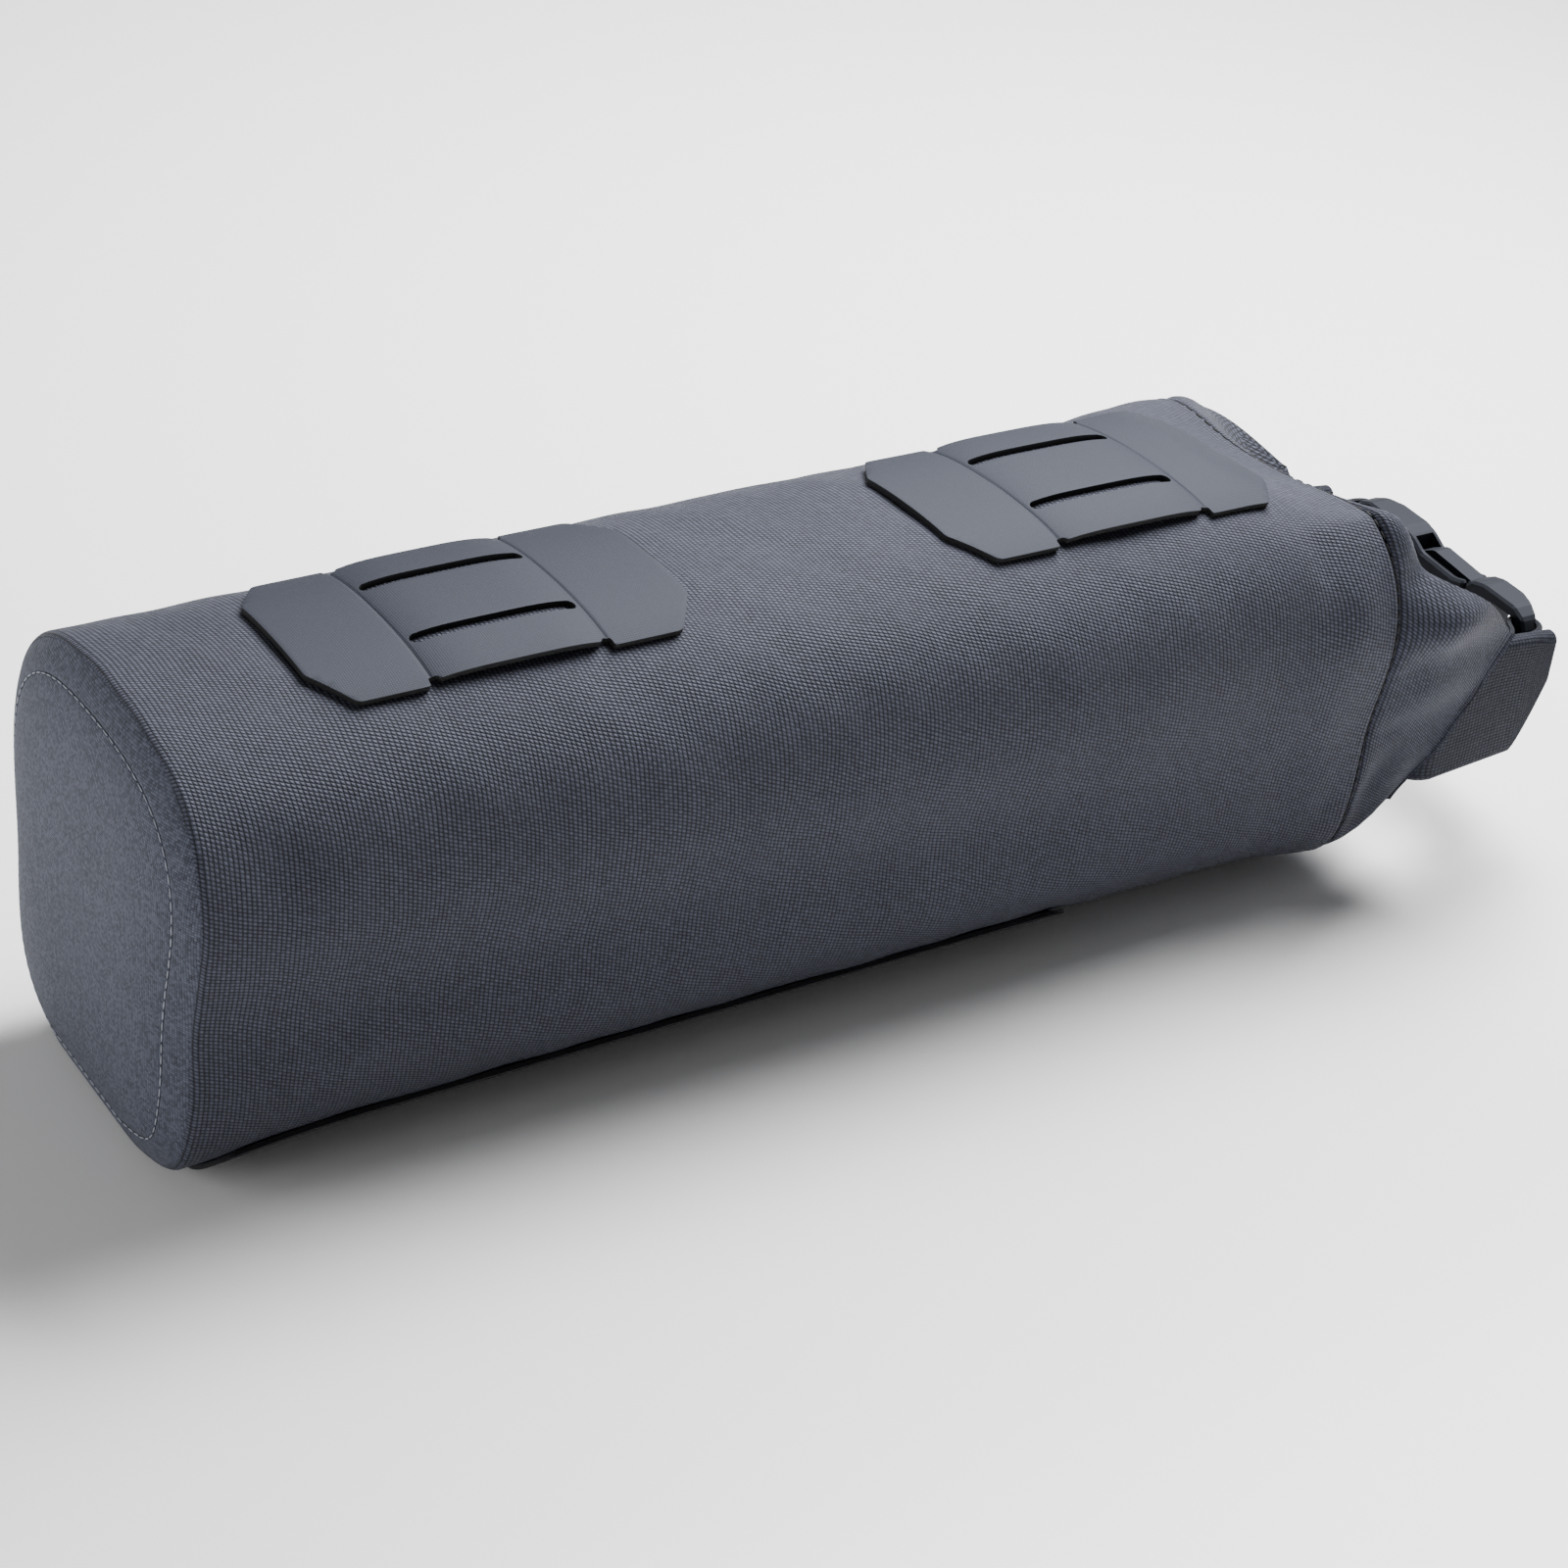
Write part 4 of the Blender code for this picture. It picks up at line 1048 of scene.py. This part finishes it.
def mirrored_outline(quarter):
    """A whole outline from its quarter at +along, +round, which runs from the along axis round."""
    upper = quarter + [(-x, y) for x, y in reversed(quarter)]
    whole = upper + [(-x, -y) for x, y in upper]
    clean = [whole[0]]
    for point in whole[1:]:
        if math.dist(point, clean[-1]) > 0.01 * MM:
            clean.append(point)
    return clean


def rounded_corners(points, radii, steps=5):
    """An open run of points with each inner corner rounded by its radius."""
    out = [points[0]]
    for before, corner, after, radius in zip(points, points[1:], points[2:], radii):
        to_before = (Vector(before) - Vector(corner)).normalized()
        to_after = (Vector(after) - Vector(corner)).normalized()
        half = to_before.angle(to_after) / 2
        reach = min(radius / math.tan(half), 0.45 * math.dist(before, corner),
                    0.45 * math.dist(after, corner))
        start = Vector(corner) + to_before * reach
        end = Vector(corner) + to_after * reach
        for share in np.linspace(0.0, 1.0, steps):
            first = start.lerp(Vector(corner), share)
            out.append(tuple(first.lerp(Vector(corner).lerp(end, share), share)))
    out.append(points[-1])
    return out


def plate_outlines(centre):
    """Outer outline and slots of a fastening plate."""
    half_length = PLATE_LENGTH / 2
    half_girth = PLATE_GIRTH / 2
    half_bridge = BRIDGE_LENGTH / 2
    bridge_edge = BRIDGE_GIRTH / 2
    quarter = [
        (half_length, 0.0),
        (half_length, half_girth - CORNER_GIRTH),
        (half_length - CORNER_LENGTH, half_girth),
        (half_bridge + NOTCH_OUTER, half_girth),
        (half_bridge + NOTCH_DEPTH, bridge_edge - NOTCH_DEPTH),
        (half_bridge - NOTCH_DEPTH, bridge_edge - NOTCH_DEPTH),
        (half_bridge - NOTCH_INNER, bridge_edge),
        (0.0, bridge_edge),
    ]
    quarter = rounded_corners(quarter, [radius * MM for radius in PLATE_RADII])
    outer = [(centre + x, y) for x, y in mirrored_outline(quarter)]
    radius = SLOT_WIDTH / 2
    reach = half_bridge - SLOT_END - radius
    outlines = [outer]
    for side in (-1, 1):
        slot = arc_points((centre + reach, side * SLOT_PITCH / 2), (radius, radius), -90, 90, 9)
        slot += arc_points((centre - reach, side * SLOT_PITCH / 2), (radius, radius), 90, 270, 9)
        outlines.append(slot)
    return outlines


class BAG_OT_make_plates(bpy.types.Operator):
    """Make the two fastening plates"""

    bl_idname = "bag.make_plates"
    bl_label = "Make fastening plates"

    def execute(self, context):
        crease = context.scene.bag_fittings.crease
        half_bridge = BRIDGE_LENGTH / 2
        for label, centre in PLATE_CENTRES.items():

            def rise(x, centre=centre):
                share = np.abs(x - centre) / half_bridge
                return GAP + bridge_rise(share)

            def top(x, centre=centre):
                past = np.abs(x - centre) - half_bridge - CREASE_OFFSET
                return rise(x) + PLATE_THICKNESS - crease * np.exp(-(past / CREASE_WIDTH) ** 2)

            marks = [half_bridge + d * MM for d in (-0.6, -0.15, 0.05, 0.2, 0.35, 0.55, 1.0)]
            marks += list(np.linspace(0.0, half_bridge - 2 * MM, 9))
            marks += list(np.linspace(half_bridge + 3 * MM, PLATE_LENGTH / 2 - MM, 10))
            along = [centre + sign * mark for mark in marks for sign in (-1, 1)]
            round_cuts = np.linspace(-PLATE_GIRTH / 2 + MM, PLATE_GIRTH / 2 - MM, 23)
            mesh = mapped_sheet(
                "plate_" + label, plate_outlines(centre), (along, round_cuts), 0.5, rise, top,
                0.22 * MM,
            )
            piece = add_piece(
                "plate_" + label, mesh, [FINISHES["plate"], FINISHES["edge"]]
            )
            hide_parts("mount_plate_" + label)
        return {"FINISHED"}


class BAG_OT_make_underside(bpy.types.Operator):
    """Make the smooth panel along the underside"""

    bl_idname = "bag.make_underside"
    bl_label = "Make underside panel"

    def execute(self, context):
        half = PANEL_LENGTH / 2
        quarter = [(half, 0.0)]
        corner = (half - PANEL_CORNER, PANEL_GIRTH / 2 - PANEL_CORNER)
        quarter += arc_points(corner, (PANEL_CORNER, PANEL_CORNER), 0, 90, 12)
        quarter.append((0.0, PANEL_GIRTH / 2))
        middle = PANEL_START + half
        outline = [(middle + x, y) for x, y in mirrored_outline(quarter)]
        cuts = (
            np.linspace(PANEL_START, PANEL_START + PANEL_LENGTH, 42)[1:-1],
            np.linspace(-PANEL_GIRTH / 2, PANEL_GIRTH / 2, 40)[1:-1],
        )
        mesh = mapped_sheet(
            "underside_sheet", [outline], cuts, 0.0, lambda x: GAP + 0 * x,
            lambda x: GAP + PANEL_THICKNESS + 0 * x, 0.25 * MM,
        )
        piece = add_piece(
            "underside_sheet", mesh, [FINISHES["panel"], FINISHES["panel"]]
        )
        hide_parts("underside_panel")
        return {"FINISHED"}


class BAG_OT_make_collar(bpy.types.Operator):
    """Make the folded collar between the seam and the roll"""

    bl_idname = "bag.make_collar"
    bl_label = "Make collar"

    def execute(self, context):
        shares = []
        for low, high in zip(TUBE_CORNERS, TUBE_CORNERS[1:]):
            count = max(2, round((high - low) * 168))
            shares += list(np.linspace(low, high, count, endpoint=False))
        around = np.array(shares)[None, :]
        along = np.linspace(0.0, 1.0, 56)[:, None]
        outer = collar_surface(along, around, 0.0)
        # The rows at the seam are tucked in, and those at the mouth stand out as its hem
        tuck = TUCK_DEPTH * np.exp(-along / TUCK_REACH)[:, :, None]
        hem = HEM_RISE * np.exp((along - 1.0) / HEM_REACH)[:, :, None]
        outward = np.stack([0 * around, np.interp(around, SHARES, NORMAL_Y),
                            np.interp(around, SHARES, NORMAL_Z)], axis=-1)
        outer = outer + outward * (hem - tuck)
        inner = collar_surface(np.linspace(0.0, 1.0, 30)[:, None], around, CLOTH)
        widths = np.append(around[0], 1.0) * GIRTH
        mesh = closed_shell("collar_cloth", outer, inner, widths)
        piece = add_piece("collar_cloth", mesh, [FINISHES["cloth"]])
        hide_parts("collar")
        return {"FINISHED"}


def roll_half_width():
    """Half the width of the roll between the collar's walls."""
    return TUBE_WIDTH / 2 - COLLAR_NARROWING - CLOTH - SLIDE


def tail_tip(side):
    """X of the tip of the near tail (-1) or the far tail (1)."""
    return ROLL_PLACE + TAIL_LENGTH - (FAR_TAIL_SHORTER if side > 0 else 0.0)


def half_roll(side):
    """One half of the roll's path from a tail's tip to the middle: x, y, bottom and top."""
    tail_line = roll_half_width() - TAIL_THICKNESS / 2
    tip = tail_tip(side)
    slope_start = tip - TAIL_CORNER_LENGTH
    path = [(tip - TAIL_CORNER_LENGTH * share, tail_line) for share in np.linspace(0.0, 1.0, 10)]
    run = np.linspace(slope_start, ROLL_PLACE + TAIL_BEND, 14)[1:-1]
    path += [(x, tail_line) for x in run]
    for a in np.radians(np.linspace(0.0, 90.0, 12)):
        x = ROLL_PLACE + TAIL_BEND * (1 - math.sin(a))
        path.append((x, tail_line - TAIL_BEND * (1 - math.cos(a))))
    path += [(ROLL_PLACE, y) for y in np.linspace(tail_line - TAIL_BEND, 0.0, 22)[1:]]
    rows = []
    for x, y in path:
        taper = max(0.0, (x - ROLL_PLACE - TAIL_BEND) / (tip - ROLL_PLACE - TAIL_BEND))
        half_height = (ROLL_HEIGHT + (TAIL_TIP_HEIGHT - ROLL_HEIGHT) * taper) / 2
        past = max(0.0, (x - slope_start) / TAIL_CORNER_LENGTH)
        cut = TAIL_CORNER_HEIGHT * past ** TAIL_CORNER_POWER
        rows.append((x, y * side, ROLL_MIDDLE - half_height + cut, ROLL_MIDDLE + half_height))
    return rows


class BAG_OT_make_roll(bpy.types.Operator):
    """Make the rolled strip of the mouth with its two bent tails"""

    bl_idname = "bag.make_roll"
    bl_label = "Make closure roll"

    def execute(self, context):
        rows = np.array(half_roll(1) + half_roll(-1)[-2::-1])
        tail_line = roll_half_width() - TAIL_THICKNESS / 2
        bulk = smooth_step(tail_line - np.abs(rows[:, 1]), TAIL_BEND * 0.6, TAIL_BEND * 3)
        thick = TAIL_THICKNESS + (ROLL_THICKNESS - TAIL_THICKNESS) * bulk
        mesh = strip(
            "rolled_mouth", rows[:, :2], thick, rows[:, 2], rows[:, 3], ROLL_LIP, steps=6
        )
        # The roll takes the cloth in a darker colour: painted shade
        piece = add_piece("rolled_mouth", mesh, [FINISHES["rolled"]], 50.0)
        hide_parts("closure_roll")
        return {"FINISHED"}


def webbing_path(side):
    """Path of a tape folded round a buckle bar, with both plies on a tail's inner face."""
    corner = math.hypot(BUCKLE_BAR / 2, BAR_THICKNESS / 2)
    radius = corner + GAP + WEBBING_THICKNESS / 2
    bar_x = ROLL_PLACE + TAIL_LENGTH + BUCKLE_AHEAD - BAR_SET_BACK
    bar_y = BUCKLE_LENGTH / 2 - BUCKLE_BAR / 2
    first = roll_half_width() - TAIL_THICKNESS - GAP - WEBBING_THICKNESS / 2
    second = first - WEBBING_THICKNESS - GAP
    leave = tail_tip(side) - TAIL_CORNER_LENGTH
    start = leave - WEBBING_LAP
    path = [(start, first), (leave, first)]
    for angle in np.radians(np.linspace(88, -182, 25)):
        path.append((bar_x + radius * math.cos(angle), bar_y + radius * math.sin(angle)))
    path += [(leave, second), (start + GAP, second)]
    return [(x, y * side) for x, y in path]


class BAG_OT_make_webbing(bpy.types.Operator):
    """Make the two webbing loops between the tails and the buckle"""

    bl_idname = "bag.make_webbing"
    bl_label = "Make webbing"

    def execute(self, context):
        low = ROLL_MIDDLE - WEBBING_WIDTH / 2
        for label, side in (("near", -1), ("far", 1)):
            path = eased(finer(webbing_path(side), WEBBING_STEP), 3)
            count = len(path)
            mesh = strip(
                "tape_" + label, path, np.full(count, WEBBING_THICKNESS), np.full(count, low),
                np.full(count, low + WEBBING_WIDTH), WEBBING_LIP, steps=4,
            )
            piece = add_piece("tape_" + label, mesh, [FINISHES["webbing"]])
            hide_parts("webbing_" + label)
        return {"FINISHED"}


class BAG_OT_make_buckle(bpy.types.Operator):
    """Finish the buckle's two halves"""

    bl_idname = "bag.make_buckle"
    bl_label = "Make buckle"

    def execute(self, context):
        for name in ("buckle_plug", "buckle_socket"):
            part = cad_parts[name]
            part.data.materials.clear()
            part.data.materials.append(FINISHES["buckle"])
        return {"FINISHED"}


def stitch_tree(material):
    """Node tree that lays stitches along a line; returns it with its inputs' identifiers."""
    tree = bpy.data.node_groups.new("Stitches along a seam", "GeometryNodeTree")
    identifiers = {}
    tree.interface.new_socket("Geometry", in_out="INPUT", socket_type="NodeSocketGeometry")
    for name in ("Stitch length", "Stitch pitch", "Thread thickness"):
        socket = tree.interface.new_socket(name, in_out="INPUT", socket_type="NodeSocketFloat")
        identifiers[name] = socket.identifier
    tree.interface.new_socket("Geometry", in_out="OUTPUT", socket_type="NodeSocketGeometry")
    given = add_node(tree, "NodeGroupInput").outputs
    line = add_node(tree, "GeometryNodeMeshToCurve", links={"Mesh": given["Geometry"]})
    spaced = add_node(
        tree, "GeometryNodeResampleCurve",
        links={"Curve": line.outputs["Curve"], "Length": given["Stitch pitch"]}, mode="LENGTH",
    )
    bead = add_node(
        tree, "GeometryNodeMeshUVSphere", {"Segments": 8, "Rings": 6, "Radius": 0.5},
    )
    tangent = add_node(tree, "GeometryNodeInputTangent")
    turned = add_node(
        tree, "FunctionNodeAlignRotationToVector", links={"Vector": tangent.outputs[0]}, axis="Z"
    )
    size = add_node(
        tree, "ShaderNodeCombineXYZ",
        links={"X": given["Thread thickness"], "Y": given["Thread thickness"],
               "Z": given["Stitch length"]},
    )
    placed = add_node(
        tree, "GeometryNodeInstanceOnPoints",
        links={"Points": spaced.outputs["Curve"], "Instance": bead.outputs["Mesh"],
               "Rotation": turned.outputs[0], "Scale": size.outputs[0]},
    )
    real = add_node(
        tree, "GeometryNodeRealizeInstances", links={"Geometry": placed.outputs["Instances"]}
    )
    smooth = add_node(
        tree, "GeometryNodeSetShadeSmooth", links={"Geometry": real.outputs["Geometry"]}
    )
    dressed = add_node(
        tree, "GeometryNodeSetMaterial", {"Material": material},
        {"Geometry": smooth.outputs["Geometry"]},
    )
    add_node(tree, "NodeGroupOutput", links={"Geometry": dressed.outputs["Geometry"]})
    return tree, identifiers


def stitched_line(context, name, points, material, length, pitch, thickness):
    """Mesh of stitches along a closed line of points."""
    mesh = bpy.data.meshes.new(name)
    edges = [(i, (i + 1) % len(points)) for i in range(len(points))]
    mesh.from_pydata((points + SHIFT).tolist(), edges, [])
    holder = bpy.data.objects.new(name, mesh)
    context.scene.collection.objects.link(holder)
    tree, identifiers = stitch_tree(material)
    modifier = holder.modifiers.new("stitches", "NODES")
    modifier.node_group = tree
    modifier[identifiers["Stitch length"]] = length
    modifier[identifiers["Stitch pitch"]] = pitch
    modifier[identifiers["Thread thickness"]] = thickness
    context.view_layer.update()
    shaped = holder.evaluated_get(context.evaluated_depsgraph_get())
    stitches = bpy.data.meshes.new_from_object(shaped)
    bpy.data.objects.remove(holder)
    return stitches


class BAG_OT_make_seams(bpy.types.Operator):
    """Make the stitches of the collar's seam and those round the end panel"""

    bl_idname = "bag.make_seams"
    bl_label = "Make seams"

    def execute(self, context):
        settings = context.scene.bag_seams
        around = np.arange(240) / 240
        # The seam's black stitches sit in its gap and partly stand for the gap's shade: painted
        # shade
        line = tube_surface(TUBE_LENGTH + SEAM_AHEAD, around, -SEAM_DEPTH)
        mesh = stitched_line(
            context, "seam_stitches", line, FINISHES["thread"], settings.stitch_length,
            settings.stitch_pitch, settings.thread_thickness,
        )
        add_piece("seam_stitches", mesh, [], 60.0)
        # Pale stitches round the end panel: their colour is a painted highlight of the ring's inner
        # edge
        line = face_loop(HEM_DEPTH + END_LINE_INSET, END_LINE_DEPTH, around)
        mesh = stitched_line(
            context, "end_stitches", line, FINISHES["pale_thread"], settings.stitch_length,
            settings.stitch_length * END_STITCH_SPACING, settings.end_thread,
        )
        add_piece("end_stitches", mesh, [], 60.0)
        return {"FINISHED"}


# Stage


def add_light(name, place, target, sides, power, spread):
    """A soft rectangular light at a place, turned to a target, its beam's spread in degrees."""
    light = bpy.data.lights.new(name, "AREA")
    light.shape = "RECTANGLE"
    light.size, light.size_y = sides
    light.energy = power
    light.spread = math.radians(spread)
    holder = bpy.data.objects.new(name, light)
    bpy.context.scene.collection.objects.link(holder)
    place = Vector(place)
    turn = (place - Vector(target)).to_track_quat("Z", "Y").to_matrix().to_4x4()
    holder.matrix_world = Matrix.Translation(place) @ turn


class BAG_OT_make_stage(bpy.types.Operator):
    """Make the floor, the lights and the camera"""

    bl_idname = "bag.make_stage"
    bl_label = "Make stage"

    def execute(self, context):
        settings = context.scene.bag_stage
        side = settings.floor_size / 2
        mesh = bpy.data.meshes.new("floor")
        mesh.from_pydata(
            [(-side, -side, 0.0), (side, -side, 0.0), (side, side, 0.0), (-side, side, 0.0)],
            [], [(0, 1, 2, 3)],
        )
        floor = bpy.data.objects.new("floor", mesh)
        context.scene.collection.objects.link(floor)
        # Paper backdrop, matte: one even pale tone
        mesh.materials.append(
            grained_material("Backdrop paper, matte", settings.floor_colour, 2.0, 0.0 * MM,
                             {"Roughness": 0.95}, mottle=0.02)
        )
        world = bpy.data.worlds.new("White surround")
        world.use_nodes = True
        background = world.node_tree.nodes["Background"].inputs
        background["Color"].default_value = (1.0, 1.0, 1.0, 1.0)
        background["Strength"].default_value = settings.sky
        context.scene.world = world
        for name, place, target, sides, power, spread in LIGHTS:
            add_light(name, place, target, sides, getattr(settings, power), spread)
        camera = bpy.data.cameras.new("camera")
        camera.lens = CAMERA_LENS
        camera.sensor_width = CAMERA_SENSOR
        camera.clip_start = 0.01
        holder = bpy.data.objects.new("camera", camera)
        context.scene.collection.objects.link(holder)
        around, above, roll = (math.radians(v) for v in (CAMERA_AROUND, CAMERA_ABOVE, CAMERA_ROLL))
        back = Vector((math.sin(around) * math.cos(above), -math.cos(around) * math.cos(above),
                       math.sin(above)))
        right = Vector((math.cos(around), math.sin(around), 0.0))
        up = back.cross(right)
        turned = Matrix((right * math.cos(roll) + up * math.sin(roll),
                         up * math.cos(roll) - right * math.sin(roll), back)).transposed()
        place = Vector(np.array(CAMERA_PLACE) + SHIFT)
        holder.matrix_world = Matrix.Translation(place) @ turned.to_4x4()
        context.scene.camera = holder
        return {"FINISHED"}


class BAG_PT_panel(bpy.types.Panel):
    """Sizes, colours and pieces of the bag"""

    bl_idname = "BAG_PT_panel"
    bl_label = "Downtube bag"
    bl_space_type = "VIEW_3D"
    bl_region_type = "UI"
    bl_category = "Bag"

    def draw(self, context):
        scene = context.scene
        for settings in (scene.bag_cloth, scene.bag_fittings, scene.bag_seams, scene.bag_stage):
            box = self.layout.box()
            for name in settings.__annotations__:
                box.prop(settings, name)
        for operator in OPERATORS:
            self.layout.operator(operator.bl_idname)


SETTINGS = {
    "bag_cloth": BagClothSettings,
    "bag_fittings": BagFittingSettings,
    "bag_seams": BagSeamSettings,
    "bag_stage": BagStageSettings,
}
OPERATORS = (
    BAG_OT_make_tube,
    BAG_OT_make_end,
    BAG_OT_make_plates,
    BAG_OT_make_underside,
    BAG_OT_make_collar,
    BAG_OT_make_roll,
    BAG_OT_make_webbing,
    BAG_OT_make_buckle,
    BAG_OT_make_seams,
    BAG_OT_make_stage,
)
CLASSES = tuple(SETTINGS.values()) + OPERATORS + (BAG_PT_panel,)


def register():
    """Register the add-on's classes and settings."""
    for cls in CLASSES:
        bpy.utils.register_class(cls)
    for name, cls in SETTINGS.items():
        setattr(bpy.types.Scene, name, bpy.props.PointerProperty(type=cls))


def unregister():
    """Take the add-on's classes and settings away."""
    for name in SETTINGS:
        delattr(bpy.types.Scene, name)
    for cls in reversed(CLASSES):
        bpy.utils.unregister_class(cls)


def main():
    """Make every piece and the stage."""
    register()
    FINISHES.update(bag_materials(bpy.context))
    for operator in OPERATORS:
        group, name = operator.bl_idname.split(".")
        getattr(getattr(bpy.ops, group), name)()
    bpy.context.view_layer.update()


if __name__ == "__main__":
    main()
